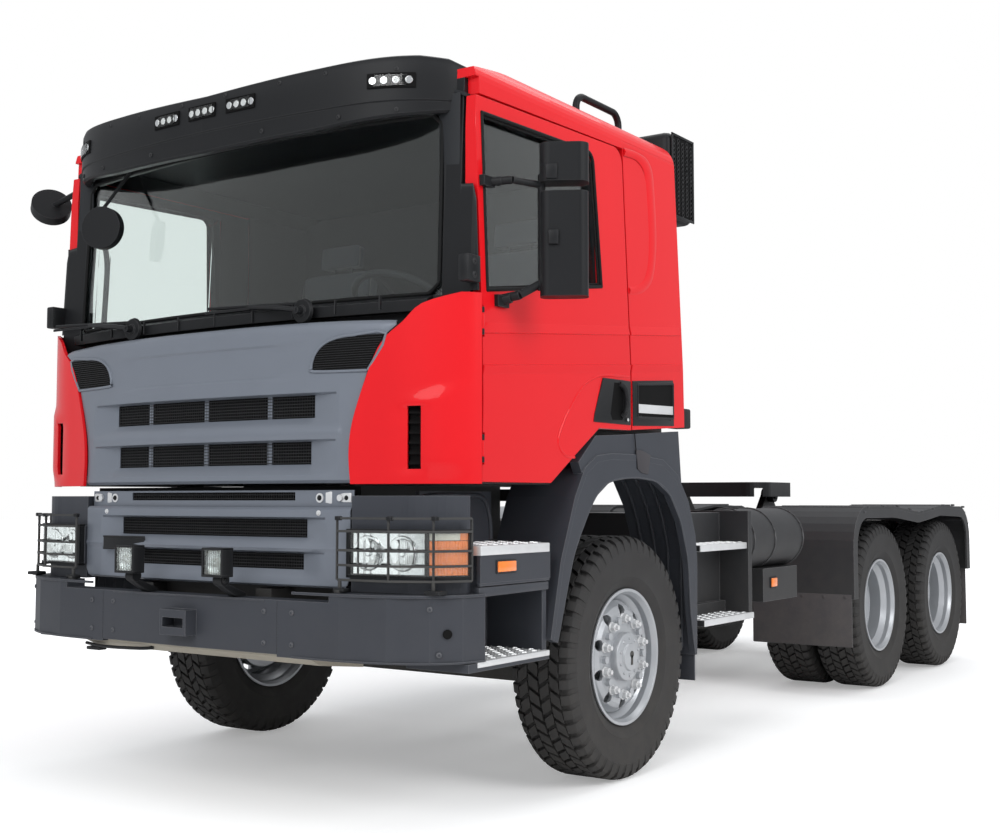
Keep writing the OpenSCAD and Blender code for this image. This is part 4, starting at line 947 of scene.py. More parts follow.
def build_corner_panels():
    """A smooth skin that swells behind its slot, and the slot's louvres."""
    bm = bmesh.new()
    zs = stations(1288, 1292, 1343, 1578, 1600, 1700, 1800, 1898, 1962, 2004, step=17)
    relief(bm, list(range(16)), zs, corner_surface, [(5, 6, 1343, 1578)], 14)
    piece("corner_skin", bm, "cab paint", "cab", ["corner_panels"], both=True,
          crease=math.radians(50))
    bm = bmesh.new()
    # A near-black plate behind the slot, painted shade for its depth, then the louvres in front of it.
    slab(bm, [(1002, -1306, 1336), (1070, -1270, 1336), (1070, -1262, 1336), (1002, -1298, 1336)], (0, 0, 250))
    for z in range(1366, 1570, 38):
        slab(bm, [(1006, -1320, z), (1062, -1292, z), (1062, -1272, z + 22), (1006, -1300, z + 22)], (0, 0, -7))
    piece("corner_louvres_and_shade", bm, "deep black", "cab", both=True)


def swages(bm, y0, y1):
    """The two swage lines of the cab's side between y0 and y1."""
    for height, slope, span in ((1853, 0.095, 48), (1729, 0.084, -42)):
        sections = []
        for y in (y0, y1):
            z = height + (y + 1182) * slope
            face = between(SIDE_X, z)
            sections.append([(between(SIDE_X, z + span) - 1.5, y, z + span), (face + 6, y, z),
                             (face - 1.5, y, z - math.copysign(4, span))])
        loft(bm, sections)


def build_scuttle():
    """The wipers' spindles, arms and blades, the scuttle's joints, and the windscreen's seal."""
    bm = bmesh.new()
    for x in (-502, 502):
        rod(bm, (x, -1353, 1971), (x, -1366, 1971), 52, 46, 28)
        rod(bm, (x, -1366, 1971), (x, -1372, 1971), 24, 20, 20)
        pipe(bm, smooth_line([(x, -1394, 1974), (x - 120, -1386, 1992), (x - 292, -1358, 2011)], 4), 10.5, 8)
        block(bm, (x - 560, -1352, 2002), (x - 8, -1347, 2012))
    for x in range(-880, 881, 220):
        block(bm, (x - 2, -1356 + 14 * (x / 900) ** 2, 1948), (x + 2, -1349 + 20 * (x / 900) ** 2, 2004))
    piece("wiper_details", bm, "black plastic", "cab")
    bm = bmesh.new()
    outline = [(-1052, 2056), (-1012, 2016), (1012, 2016), (1052, 2056), (1043, 2680), (1003, 2720),
               (-1003, 2720), (-1043, 2680)]
    for a, b in zip(outline, outline[1:] + outline[:1]):
        steps = [[p + (q - p) * i / 6 for p, q in zip(a, b)] for i in range(7)]
        pipe(bm, [(x, screen_front(x, z), z) for x, z in steps], 9, 8)
    piece("windscreen_seal", bm, "seal rubber", "cab")


# The visor's outer face in plan, and the heights of its edges at X
VISOR_PLAN = [(0, -1432), (225, -1426), (450, -1411), (660, -1384), (800, -1354), (905, -1314), (985, -1264),
              (1045, -1212), (1095, -1156), (1130, -1100)]
VISOR_LOW = [(0, 2666), (600, 2676), (960, 2704), (1130, 2727)]
VISOR_HIGH = [(0, 2904), (600, 2922), (1000, 2938), (1085, 2930), (1130, 2904)]


def build_visor():
    """The sun visor with its ribs, its lamp clusters and its screws."""
    plan = smooth_line(VISOR_PLAN, 4)
    line = plan_line(plan)
    bm = bmesh.new()
    sections = []
    for station in line:
        x = station[0][0]
        low, high = between(VISOR_LOW, x), between(VISOR_HIGH, x)
        middle = 2748 + 14 * max(0.0, (x - 600) / 600)
        sections.append([out(station, -38, low - 2), out(station, -8, low - 3), out(station, 0, low + 6),
                         out(station, 0, middle - 2), out(station, 6, middle + 4), out(station, 5, middle + 60),
                         out(station, 2, high - 26), out(station, -6, high - 5), out(station, -20, high + 3),
                         out(station, -44, high + 3)])
    loft(bm, sections)
    for x, y in ((280, -1395), (760, -1335), (1040, -1190)):
        block(bm, (x - 18, y, 2846), (x + 18, y + 150, 2880), 4)
    piece("visor_skin", bm, "black plastic", "cab", ["sun_visor"], both=True)

    # lamp clusters: the middle one is made as a half, so that its mirror completes it
    bm, glow, lens = bmesh.new(), bmesh.new(), bmesh.new()
    for middle, run in ((0, 78), (218, 78), (905, 84)):
        first = max(0, middle - run)
        xs = [first + (middle + run - first) * i / 6 for i in range(7)]
        near = plan_line([(x, between(plan, x)) for x in xs])
        band(bm, near, -2, 10, 2806, 2864)
        band(lens, near[1:-1] if first else near[:-1], 10, 12.5, 2813, 2857)
        for x in (middle + run * (0.26 + 0.5 * i) for i in ((0, 1) if middle == 0 else (-2, -1, 0, 1))):
            station = min(near, key=lambda s: abs(s[0][0] - x))
            y = between(plan, x)
            rod(glow, (x, y - 2, 2835), (x + station[1][0] * 10.6, y - 10.6, 2835), 13, 15, 12)
    piece("visor_lamps", bm, "deep black", "cab", both=True)
    piece("visor_lamp_optics", glow, "chrome", "cab", both=True)
    piece("visor_lamp_lenses", lens, "lens glass", "cab", both=True)

    bm = bmesh.new()
    for x, z in ((130, 2884), (420, 2888), (640, 2892), (330, 2706), (700, 2712)):
        bolt(bm, (x, between(plan, x) - 2, z), (0, -1, 0), 7, 4)
    for station, z in ((line[-16], 2880), (line[-16], 2722), (line[-4], 2872), (line[-4], 2742)):
        bolt(bm, out(station, 2, z), (*station[1], 0), 7, 4)
    piece("visor_screws", bm, "black plastic", "cab", both=True)


# The headlamp's front in plan
LAMP = [(775, -1380.5), (789, -1378.6), (838, -1371.7), (900, -1363)] + arc((1000, -1140), 212, -92, -17, 18)


def build_headlamps():
    """Both headlamps: reflectors, turn lamps, side lights, covers, frames, and the guards' clips."""
    line = plan_line(LAMP)
    clear = [s for s in line[1:] if s[0][0] < 1112]
    turn = [s for s in line if s[0][0] > 1096]
    bm = bmesh.new()
    fine = plan_line(smooth_line([s[0] for s in clear], 4))
    loft(bm, [[out(s, 1, 952), out(s, 3 + 5 * (i % 2), 952), out(s, 3 + 5 * (i % 2), 1106), out(s, 1, 1106)]
              for i, s in enumerate(fine)])
    for x in (862, 1012):
        turned_bowl(bm, (x, between(LAMP[:14], x) - 3, 1030), 62)
    piece("headlamp_reflectors", bm, "chrome", "chassis", both=True)

    bm = bmesh.new()
    ribs = plan_line(smooth_line([s[0] for s in turn], 3))
    loft(bm, [[out(s, 1, 952), out(s, 13 + 2.5 * (i % 2), 952), out(s, 13 + 2.5 * (i % 2), 1078), out(s, 1, 1078)]
              for i, s in enumerate(ribs)])
    band(bm, turn[-4:], 1, 13, 1080, 1106)
    piece("turn_lamps", bm, "amber lens", "chassis", both=True)
    bm = bmesh.new()
    band(bm, turn[:-3], 1, 13, 1080, 1106)
    piece("side_light_strips", bm, "pale lens", "chassis", both=True)

    bm = bmesh.new()
    band(bm, line, 18, 22, 949, 1109)
    piece("headlamp_lenses", bm, "lens glass", "chassis", both=True)
    bm = bmesh.new()
    band(bm, line, -2, 25, 1109, 1120)
    band(bm, line, -2, 25, 938, 949)
    band(bm, line[:2], -2, 25, 940, 1118)
    band(bm, line[-2:], -2, 25, 940, 1118)
    band(bm, turn[:2], -2, 17, 949, 1109)
    piece("headlamp_frames", bm, "black plastic", "chassis", both=True)

    # clips and pads of the wire guards
    bm = bmesh.new()
    for x, y in ((765, -1440), (1000, -1425), (1150, -1350)):
        block(bm, (x - 12, y - 4, 1152), (x + 12, y + 16, 1168), 3)
    block(bm, (1120, -1372, 884), (1190, -1318, 900), 5)
    block(bm, (752, -1452, 884), (806, -1412, 900), 5)
    piece("guard_clips", bm, "black plastic", "chassis", both=True)


def turned_bowl(bm, centre, radius):
    """A round reflector that faces forward."""
    x, y, z = centre
    outline = [(0.12, 3), (0.45, 1), (0.8, -3), (1.0, -9), (1.04, -9), (1.04, 4), (0.12, 6)]
    turned(bm, [(radius * r, a) for r, a in outline], centre, 32, forward=True)
    rod(bm, (x, y + 4, z), (x, y - 8, z), radius * 0.2, radius * 0.16, 16)


def build_work_lamps():
    """Square lamps with a ribbed lens, each on a knuckle over the bumper."""
    front = (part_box("work_lamps")[0].y - AXLE_Y) / MM
    housing, optic, lens, backs = bmesh.new(), bmesh.new(), bmesh.new(), bmesh.new()
    x0, x1, z0, z1 = 199, 313, 930, 1043
    for a, b in (((x0, z0), (x0 + 9, z1)), ((x1 - 9, z0), (x1, z1)),
                 ((x0, z0), (x1, z0 + 9)), ((x0, z1 - 9), (x1, z1))):
        block(housing, (a[0], front + 0.3, a[1]), (b[0], front + 62, b[1]), 3)
    block(housing, (x0 + 4, front + 34, z0 + 4), (x1 - 4, front + 62, z1 - 4), 9)
    for z in range(z0 + 14, z1 - 8, 14):
        block(housing, (x0 + 16, front + 60, z), (x1 - 16, front + 70, z + 4))
    rod(housing, (234, front + 52, 918), (278, front + 52, 918), 24, sides=24)
    foot = [(front + 36, 898), (front + 80, 898), (-1424, 862), (-1424, 850), (-1478, 850)]
    slab(housing, facing_side(foot, 236), (40, 0, 0), 2)
    bolt(housing, (278, front + 52, 918), (1, 0, 0), 10, 9)
    turned_bowl(optic, (256, front + 30, 986), 44)
    block(backs, (x0 + 9, front + 31, z0 + 9), (x1 - 9, front + 34, z1 - 9))
    block(lens, (x0 + 9, front + 5, z0 + 9), (x1 - 9, front + 8, z1 - 9))
    for x in range(x0 + 17, x0 + 98, 10):
        rod(lens, (x, front + 8, z0 + 10), (x, front + 8, z1 - 10), 3.6, sides=8)
    piece("work_lamp_housings", housing, "black plastic", "chassis", ["work_lamps"], both=True)
    piece("work_lamp_optics", optic, "chrome", "chassis", both=True)
    piece("work_lamp_backs", backs, "pale lens", "chassis", both=True)
    piece("work_lamp_lenses", lens, "lens glass", "chassis", both=True)


# The bumper's front in plan
BUMPER = [(0, -1500), (250, -1494), (506, -1488), (806, -1478), (1000, -1438), (1140, -1360), (1220, -1265),
          (1245, -1160)]


def build_bumper():
    """The bumper's bolts, a near-black disc of painted shade for its hole, its joint and lips, and the pipe and
    bracket by the shield.
    """
    line = plan_line(smooth_line(BUMPER, 4))

    def near(x):
        """The station nearest to X."""
        return min(line, key=lambda s: abs(s[0][0] - x))

    bm = bmesh.new()
    for x, z in ((566, 802), (566, 682), (448, 802), (448, 682), (1130, 832), (1168, 668)):
        station = near(x)
        bolt(bm, out(station, 0.5, z), (*station[1], 0), 8, 5)
    piece("bumper_bolts", bm, "slate plastic", "chassis", both=True)
    bm = bmesh.new()
    station = near(1196)
    # A near-black disc painted as the shade inside the bumper's hole; the band after it is a dark joint.
    rod(bm, out(station, -4, 742), out(station, 1.6, 742), 17, sides=24)
    band(bm, [near(503), near(508)], -3, 0.8, 644, 846)
    piece("bumper_hole_shade_and_joint", bm, "deep black", "chassis", both=True)
    bm = bmesh.new()
    corner, middle = [s for s in line if s[0][0] > 520], [s for s in line if s[0][0] < 500]
    band(bm, corner, -6, 3, 872, 882)
    band(bm, corner, -4, 2.5, 633, 640)
    band(bm, middle, -6, 2.5, 840, 847)
    piece("bumper_lips", bm, "slate plastic", "chassis", both=True)
    bm = bmesh.new()
    block(bm, (-645, -1462, 586), (-560, -1420, 600), 4)
    pipe(bm, smooth_line([(-660, -1448, 612), (-520, -1462, 606), (-300, -1466, 612), (-240, -1440, 616)], 5), 7)
    piece("shield_pipe", bm, "black plastic", "chassis")


# ---- cab sides ----

def build_door(side):
    """A door's window seal, pressings, handle and lock, and its lining inside."""
    body = "door_left" if side > 0 else "door_right"
    name = body + "_"
    bm = bmesh.new()
    window = [(-1122, 2712), (-1122, 2020), (-250, 2148)] + arc((-330, 2685), 50, 0, 90, 5)
    middle_y, middle_z = -690, 2400
    for inset, radius, off in ((2, 8, 2), (13, 5, -6)):
        rim = [(y + math.copysign(inset, middle_y - y), z + math.copysign(inset, middle_z - z))
               for y, z in window]
        points = [(between(SIDE_X, z) + off - 3, y, z) for y, z in rim]
        for a, b in zip(points, points[1:] + points[:1]):
            rod(bm, a, b, radius, sides=8)
        for p in points:
            bmesh.ops.create_icosphere(bm, subdivisions=2, radius=radius * MM,
                                       matrix=Matrix.Translation(at(*p)))
    piece(name + "window_seal", bm, "seal rubber", body, side=side)

    bm = bmesh.new()
    swages(bm, -1158, -24)
    crease = smooth_line([(-500, 1404), (-566, 1408), (-618, 1440), (-624, 1486), (-556, 1588), (-448, 1694),
                          (-360, 1738), (-262, 1762), (-30, 1772)], 5)
    pipe(bm, [(between(SIDE_X, z) - 3, y, z) for y, z in crease], 6.5, 10)
    piece(name + "pressings", bm, "cab paint", body, side=side)

    bm = bmesh.new()
    plate = [(-270, 1752), (-30, 1754), (-30, 1558), (-352, 1558), (-345, 1592)]
    slab(bm, facing_side(plate, 1231), (9, 0, 0), 3)
    grip = [(0, -112, 1592), (15, -104, 1612), (17, -98, 1665), (12, -108, 1716), (0, -132, 1736)]
    pipe(bm, [(1240 + dx, y, z) for dx, y, z in smooth_line(grip, 5)], 12, 10)
    rod(bm, (1238, -68, 1580), (1245, -68, 1580), 11, sides=16)
    piece(name + "handle", bm, "black plastic", body, side=side)
    bm = bmesh.new()
    # Painted shade: a near-black patch in the hollow behind the handle's grip.
    hollow = [(-178, 1738), (-110, 1738), (-84, 1715), (-84, 1610), (-112, 1576), (-196, 1574), (-212, 1600)]
    slab(bm, facing_side(hollow, 1238), (2.6, 0, 0))
    piece(name + "handle_hollow_shade", bm, "deep black", body, side=side)
    bm = bmesh.new()
    rod(bm, (1244, -68, 1580), (1247, -68, 1580), 7, sides=16)
    piece(name + "lock", bm, "bright metal", body, side=side)

    # lining with its armrest, and the trim of the window's frame and reveals
    bm = bmesh.new()
    lining = [(-1120, 1340), (-700, 1340), (-500, 1470), (-330, 1570), (-70, 1575), (-70, 1980), (-1120, 1890)]
    slab(bm, facing_side(lining, 1151), (-6, 0, 0), 2)
    block(bm, (1121, -700, 1790), (1147, -250, 1840), 10)
    block(bm, (1143, -236, 1570), (1150, -30, 2768), 2)
    block(bm, (1143, -1124, 2722), (1150, -232, 2768), 2)
    for reveal, reach in (([(-254, 2100), (-284, 2690), (-240, 2740), (-230, 2100)], 44),
                          ([(-1124, 2707), (-330, 2730), (-286, 2692), (-240, 2745), (-1124, 2745)], 30)):
        slab(bm, facing_side(reveal, 1147), (reach, 0, 0))
    piece(name + "lining", bm, "cab trim", body, side=side)


def build_cab_sides():
    """The pressed ridge behind each door, the vents under it, and the covers of the pillars' hinges."""
    bm = bmesh.new()
    swages(bm, -10, 470)
    low = [(-4, 2186), (60, 2196), (140, 2240), (186, 2330), (204, 2480), (196, 2700), (168, 2760),
           (100, 2786), (-4, 2780)]
    high = [(-4, 2146), (110, 2164), (215, 2226), (266, 2330), (290, 2480), (282, 2720), (232, 2806), (130, 2826),
            (-4, 2820)]
    crest = [((a + c) / 2, (b + d) / 2) for (a, b), (c, d) in zip(low, high)]
    rings = []
    for outline, proud in ((high, -1.5), (crest, 9), (low, -1.5)):
        rings.append([(between(SIDE_X, z) + proud, y, z) for y, z in smooth_line(outline, 3)])
    loft(bm, [[r[i] for r in rings] for i in range(len(rings[0]))])
    piece("cab_side_pressings", bm, "cab paint", "cab", both=True, crease=math.radians(60))

    bm = bmesh.new()
    slab(bm, facing_side([(-8, 1757), (384, 1788), (390, 1573), (-8, 1556)], 1230), (9, 0, 0), 3)
    mouth = [(30, 1744), (376, 1770), (376, 1606), (30, 1596)]
    for a, b in zip(mouth, mouth[1:] + mouth[:1]):
        rod(bm, (1240, *a), (1240, *b), 6, sides=8)
    for y in (60, 350):
        rod(bm, (1236, y, 1600), (1242, y, 1600), 6, sides=12)
    piece("side_vents", bm, "black plastic", "cab", both=True)
    bm = bmesh.new()
    # Painted shade: a near-black patch in each vent's mouth stands for the dark opening.
    slab(bm, facing_side([(34, 1740), (372, 1765), (372, 1612), (34, 1602)], 1236), (4, 0, 0))
    piece("side_vent_mouth_shade", bm, "deep black", "cab", both=True)
    bm = bmesh.new()
    slab(bm, facing_side([(36, 1656), (370, 1664), (370, 1624), (36, 1616)], 1239), (5, 0, 0), 2)
    piece("side_vent_bars", bm, "bright metal", "cab", both=True)

    bm = bmesh.new()
    block(bm, (1190, -1262, 2040), (1238, -1178, 2142), 7)
    for z in (2066, 2116):
        bolt(bm, (1238, -1220, z), (1, 0, 0), 8, 3)
    piece("pillar_hinge_covers", bm, "black plastic", "cab", both=True)


def build_roof():
    """The roof's seams and beads, the rail's feet, and the air intake with the lattice in its mouth."""
    bm = bmesh.new()
    line = smooth_line([(-1130, 2812), (-600, 2862), (100, 2884), (430, 2876)], 5)
    pipe(bm, [(1178 - max(0.0, z - 2850) * 0.35, y, z) for y, z in line], 7, 8)
    for y in (-700, -300, 100):
        z = 3006 + (y + 700) * 0.006 - 8
        rod(bm, (-820, y, z), (820, y, z), 9, sides=8)
    piece("roof_seams", bm, "cab paint", "cab")
    bm = bmesh.new()
    for y in (20, 420):
        rod(bm, (930, y, 2962), (930, y, 2990), 26, 20, 16)
    piece("rail_feet", bm, "black plastic", "cab")
    bm = bmesh.new()
    block(bm, (862, 542, 2602), (1149, 808, 3038), 42, 4)
    block(bm, (900, 532, 1700), (1080, 690, 2620), 22, 3)
    block(bm, (1062, 600, 1578), (1149, 750, 1676), 10, 3)
    block(bm, (1020, 505, 1590), (1070, 620, 1660), 6)
    for z in range(1800, 2560, 120):
        block(bm, (896, 528, z), (1084, 694, z + 14), 3)
    piece("intake_body", bm, "black plastic", "cab", ["air_intake"])
    bm = bmesh.new()
    for z in range(2636, 3008, 22):
        for y in (580, 626, 672, 718, 764):
            shift = 11 if (y // 46) % 2 else 0
            ring_at(bm, (1151, y, min(z + shift, 3004)), 21)
    for y0, y1, z0, z1 in ((556, 568, 2614, 3030), (782, 794, 2614, 3030), (556, 794, 2612, 2624),
                           (556, 794, 3018, 3030)):
        block(bm, (1149, y0, z0), (1156, y1, z1), 2)
    piece("intake_lattice", bm, "black plastic", "cab")
    bm = bmesh.new()
    # Painted shade: a near-black sheet behind the lattice stands for the dark inside of the intake.
    block(bm, (1149, 566, 2622), (1151, 784, 3020))
    piece("intake_mouth_shade", bm, "deep black", "cab")


def ring_at(bm, centre, across):
    """One hexagonal cell of a lattice that faces sideways."""
    x, y, z = centre
    outer = arc((y, z), across * 0.62, 0, 300, 5)
    inner = arc((y, z), across * 0.44, 0, 300, 5)
    loops = [ring(bm, facing_side(*r)) for r in ((outer, x), (outer, x + 3), (inner, x + 3), (inner, x))]
    for one, other in zip(loops, loops[1:] + loops[:1]):
        bmesh.ops.bridge_loops(bm, edges=one + other)


MIRROR_REACH = 1527                          # X of the heads' outermost point
MIRROR_Y = -899                              # their middle
HEAD_HALF, HEAD_DEEP, HEAD_ROUND = 95, 55, 40


def mirror_faces(side):
    """Reflecting glass at the back of both heads, and the clamps that hold the heads on their tube."""
    body = "door_left" if side > 0 else "door_right"
    yaw, drop = (30, 0) if side > 0 else (38, 25)
    turn = math.radians(yaw)
    head_x = (MIRROR_REACH - (HEAD_HALF - HEAD_ROUND) * math.cos(turn)
              - (HEAD_DEEP - HEAD_ROUND) * math.sin(turn) - HEAD_ROUND)
    glass, clamp = bmesh.new(), bmesh.new()
    for bm, low, high, round_by in (
            (glass, (-72, 48.5, 2026), (72, 50, 2388), 0.7), (glass, (-76, 55.5, 2464), (76, 57, 2578), 0.7),
            (clamp, (-60, -62, 2200), (-20, -46, 2256), 5), (clamp, (-70, -64, 2452), (-24, -50, 2510), 5)):
        low, high = ((head_x + x, MIRROR_Y + y, z - drop) for x, y, z in (low, high))
        verts = block(bm, low, high, round_by)
        bmesh.ops.rotate(bm, cent=at(head_x, MIRROR_Y, 0), matrix=Matrix.Rotation(turn, 3, "Z"), verts=verts)
    rod(clamp, (1172, -1110, 2440 - drop), (1262, -1076, 2444 - drop), 20, 17, 14)
    rod(clamp, (1200, -1040, 1988 - drop), (1268, -1022, 2000 - drop), 26, 20, 14)
    piece(body + "_mirror_glass", glass, "chrome", body, side=side)
    piece(body + "_mirror_clamps", clamp, "black plastic", body, side=side)


# ---- steps and fenders ----

def tread_plate(bm, x0, x1, y0, y1, z):
    """Raised studs in alternating directions on a step."""
    margin = 8
    across, along = x1 - x0 - 2 * margin, y1 - y0 - 2 * margin
    pitch = bpy.context.scene.tractor_sizes.stud_pitch / MM
    rows, columns = int(along / pitch), int(across / pitch)
    for i in range(rows):
        for j in range(columns):
            x = x0 + margin + (j + 0.5) * across / columns
            y = y0 + margin + (i + 0.5) * along / rows
            lean = 9 if (i + j) % 2 else -9
            loft(bm, [[(x - 9 - lean * 0.2, y - lean, z - 1), (x - 4, y - lean * 1.2, z - 1),
                       (x + 9 + lean * 0.2, y + lean, z - 1), (x + 4, y + lean * 1.2, z - 1)],
                      [(x - 6, y - lean * 0.8, z + 4), (x - 4, y - lean * 0.9, z + 4),
                       (x + 6, y + lean * 0.8, z + 4), (x + 4, y + lean * 0.9, z + 4)]])


def build_steps():
    """The treads of the entry and of the box behind it, the side markers, and the entry's panels."""
    bm = bmesh.new()
    block(bm, (952, -1183, 1022), (1242, -709, 1058), 3)
    tread_plate(bm, 952, 1240, -1180, -712, 1058)
    block(bm, (951, -1200, 612), (1241, -709, 634), 3)
    tread_plate(bm, 952, 1238, -1196, -716, 634)
    piece("entry_treads", bm, "bright metal", "chassis", both=True)

    bm = bmesh.new()
    block(bm, (1061, 700, 973), (1219, 1246, 1006), 3)
    tread_plate(bm, 1062, 1216, 704, 1244, 1006)
    block(bm, (1061, 700, 611), (1236.5, 1288, 643), 3)
    tread_plate(bm, 1062, 1234, 704, 1244, 643)
    piece("box_treads", bm, "bright metal", "chassis")

    bm = bmesh.new()
    block(bm, (1236, -1082, 951), (1243, -948, 1003), 3)
    block(bm, (1144, 1700, 740), (1157, 1790, 800), 3)
    piece("marker_frames", bm, "black plastic", "chassis")
    bm = bmesh.new()
    block(bm, (1240, -1076, 957), (1248, -954, 997), 4)
    block(bm, (1150, 1706, 746), (1162, 1784, 794), 4)
    piece("side_markers", bm, "amber lens", "chassis")
    bm = bmesh.new()
    for y in range(-1150, -720, 60):
        block(bm, (928, y, 660), (934, y + 14, 1010), 2)
    line = smooth_line([(-1176, 1230), (-1100, 1244), (-900, 1246), (-760, 1234), (-712, 1150), (-706, 1066)], 5)
    pipe(bm, [(948, y, z) for y, z in line], 12, 10)
    slab(bm, facing_side([(-1180, 920), (-703, 920), (-703, 908), (-1180, 908)], 1222), (15, 0, 0), 2)
    slab(bm, facing_side([(-1180, 868), (-703, 872), (-703, 905), (-1180, 905)], 1200), (33, 0, 0), 4)
    piece("step_panels", bm, "slate plastic", "chassis", both=True)


def build_fenders():
    """The front fenders' joint pieces, seams, lips, and ribs of the liners."""
    bm = bmesh.new()
    joint = [(12, 1450), (70, 1448), (146, 1430), (122, 1342), (60, 1348), (24, 1364)]
    slab(bm, facing_side(joint, 1237), (6.5, 0, 0), 2)
    block(bm, (1210, 20, 1426), (1240, 140, 1434), 3)
    piece("fender_joints", bm, "flap rubber", "chassis", both=True)
    bm = bmesh.new()
    pipe(bm, [(1240, 2, 1522), (1240.5, 8, 1470), (1240.5, 18, 1430), (1240.5, 22, 1364)], 2.2, 6)
    piece("fender_seams", bm, "deep black", "chassis", both=True)
    bm = bmesh.new()
    lip = [(592, 500), (550, 700), (523, 943), (452, 1120), (342, 1250), (200, 1312), (-14, 1326), (-220, 1305),
           (-340, 1240), (-440, 1120), (-527, 983), (-643, 665)]
    pipe(bm, [(1236, y, z) for y, z in smooth_line(lip, 4)], 5, 8)
    liner = [(584, 520), (586, 940), (566, 1048), (496, 1196), (396, 1316), (262, 1381), (34, 1398),
             (-200, 1397), (-318, 1383), (-406, 1336), (-485, 1222), (-592, 975), (-668, 680)]
    for x in (960, 1030, 1100, 1170):
        pipe(bm, [(x, y, z) for y, z in smooth_line(liner, 3)], 8, 8)
    piece("fender_ribs", bm, "slate plastic", "chassis", both=True)


def build_rear():
    """Ribs and clips of the twin mudguards, all flaps, and the air tank's bands and end cap."""
    bm = bmesh.new()
    tops = [(2835, 1010), (2875, 1090), (2930, 1148), (3000, 1180), (3300, 1183), (3600, 1182), (3860, 1160),
            (4125, 1141), (4390, 1160), (4650, 1184), (4900, 1184), (5170, 1169), (5300, 1128), (5378, 1040)]
    for y, z in tops:
        rod(bm, (566, y, z - 3), (1236, y, z - 3), 7, sides=8)
    for y, z in tops[2:-2]:
        block(bm, (1222, y + 60, z - 8), (1242, y + 96, z + 6), 3)
    piece("mudguard_ribs", bm, "guard plastic", "chassis", both=True)
    bm = bmesh.new()
    block(bm, (566, 2793.5, 318), (1220, 2799.5, 640), 2)
    block(bm, (572, 5381, 266), (1205, 5387, 715), 2)
    for x in range(620, 1200, 140):
        bolt(bm, (x, 2793.5, 622), (0, -1, 0), 8, 4)
        bolt(bm, (x, 5397, 700), (0, -1, 0), 8, 1)
    piece("mud_flaps", bm, "flap rubber", "chassis", both=True)
    bm = bmesh.new()
    for y in (1420, 1700, 2100):
        turns = [t / 12 * math.pi for t in range(-6, 19)]
        pipe(bm, [(1020 + 168 * math.cos(t), y, 1012 + 168 * math.sin(t)) for t in turns], 5, 6)
    cap = [(1150, 690), (1140, 669), (860, 669), (820, 700), (820, 820), (850, 850), (1130, 850), (1150, 830)]
    loft(bm, [[(x, 2088, z) for x, z in cap],
              [(985 + (x - 985) * 0.6, 2120, 760 + (z - 760) * 0.6) for x, z in cap]])
    piece("tank_bands", bm, "guard plastic", "chassis")


def build_chassis():
    """Bolts and clamps along the frame, the air pipes inside it, and the fifth wheel's studs."""
    bm = bmesh.new()
    for y in range(-880, 5300, 140):
        for z in (800, 990):
            bolt(bm, (385, y, z), (1, 0, 0), 10, 8)
    for y in (3450, 4800):
        for dy in (-60, 60):
            rod(bm, (470, y + dy, 560), (470, y + dy, 690), 12)
    piece("frame_bolts", bm, "cast iron", "chassis", both=True)
    bm = bmesh.new()
    for x, z in ((330, 1004), (352, 1010), (372, 1002)):
        pipe(bm, smooth_line([(x, 700, z), (x, 1500, z - 4), (x, 2400, z), (x, 2900, z - 6)], 4), 7, 8)
    piece("air_pipes", bm, "seal rubber", "chassis", both=True)
    bm = bmesh.new()
    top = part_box("fifth_wheel")[1].z / MM
    for x in (-330, -220, 220, 330):
        for y in (3330, 3600):
            rod(bm, (x, y, top - 2), (x, y, top - 0.2), 16, sides=16)
    piece("coupling_studs", bm, "greased steel", "fifth_wheel")


# ---- wheels ----

def build_tyre(name, body, y, middles, side):
    """A carcass with its groove floors, four rows of skewed blocks, and lugs over both shoulders."""
    sizes = bpy.context.scene.tractor_sizes
    deep = sizes.tread_depth / MM
    count = sizes.tread_pitches
    pitch = 360 / count
    top = TYRE_R - 1.6
    floor = top - deep
    half = [(287, 106), (301, 114), (312, 121), (345, 137), (352, 139), (356, 137.5), (411, 147.5), (450, 146.8),
            (456, 148.2), (466, 147.6), (470, 145.6), (496, 140), (510, 128), (floor, 106), (floor, 50), (floor, 0)]
    outline = half + [(r, -a) for r, a in half[-2::-1]]
    bm = bmesh.new()
    for x in middles:
        centre = (x, y, TYRE_R)

        def spot(r, a, degrees):
            """The place at radius r, a along the axle and so many degrees round the tyre."""
            t = math.radians(degrees)
            return (x + a, y + r * math.sin(t), TYRE_R + r * math.cos(t))

        turned(bm, outline, centre, 80)
        for row, (a0, a1) in enumerate(((-98, -55), (-49, -4), (4, 49), (55, 98))):
            skew = 0.22 * pitch * (-1 if row % 2 else 1)
            start = (row % 2) * pitch / 2
            size = pitch * 0.36
            corners = [(a0, start - size - skew), (a1, start - size + skew), (a1, start + size + skew),
                       (a0, start + size - skew)]
            verts = loft(bm, [[spot(floor - 2, a, t) for a, t in corners],
                              [spot(top, a * 0.985 + (a0 + a1) * 0.0075, t) for a, t in corners]])
            around(bm, verts, centre, count)
        for way in (-1, 1):
            lug = [(top, 103), (top - 5, 122), (515, 138), (496, 144), (462, 149), (456, 143), (496, 136),
                   (floor - 2, 103)]
            start = pitch / 2 if way > 0 else 0
            verts = loft(bm, [[spot(r, a * way, start + turn) for r, a in lug]
                              for turn in (-pitch * 0.3, pitch * 0.3)])
            around(bm, verts, centre, count)
    piece(name, bm, "tyre rubber", body, [name.replace("_treads", "")], side=side)


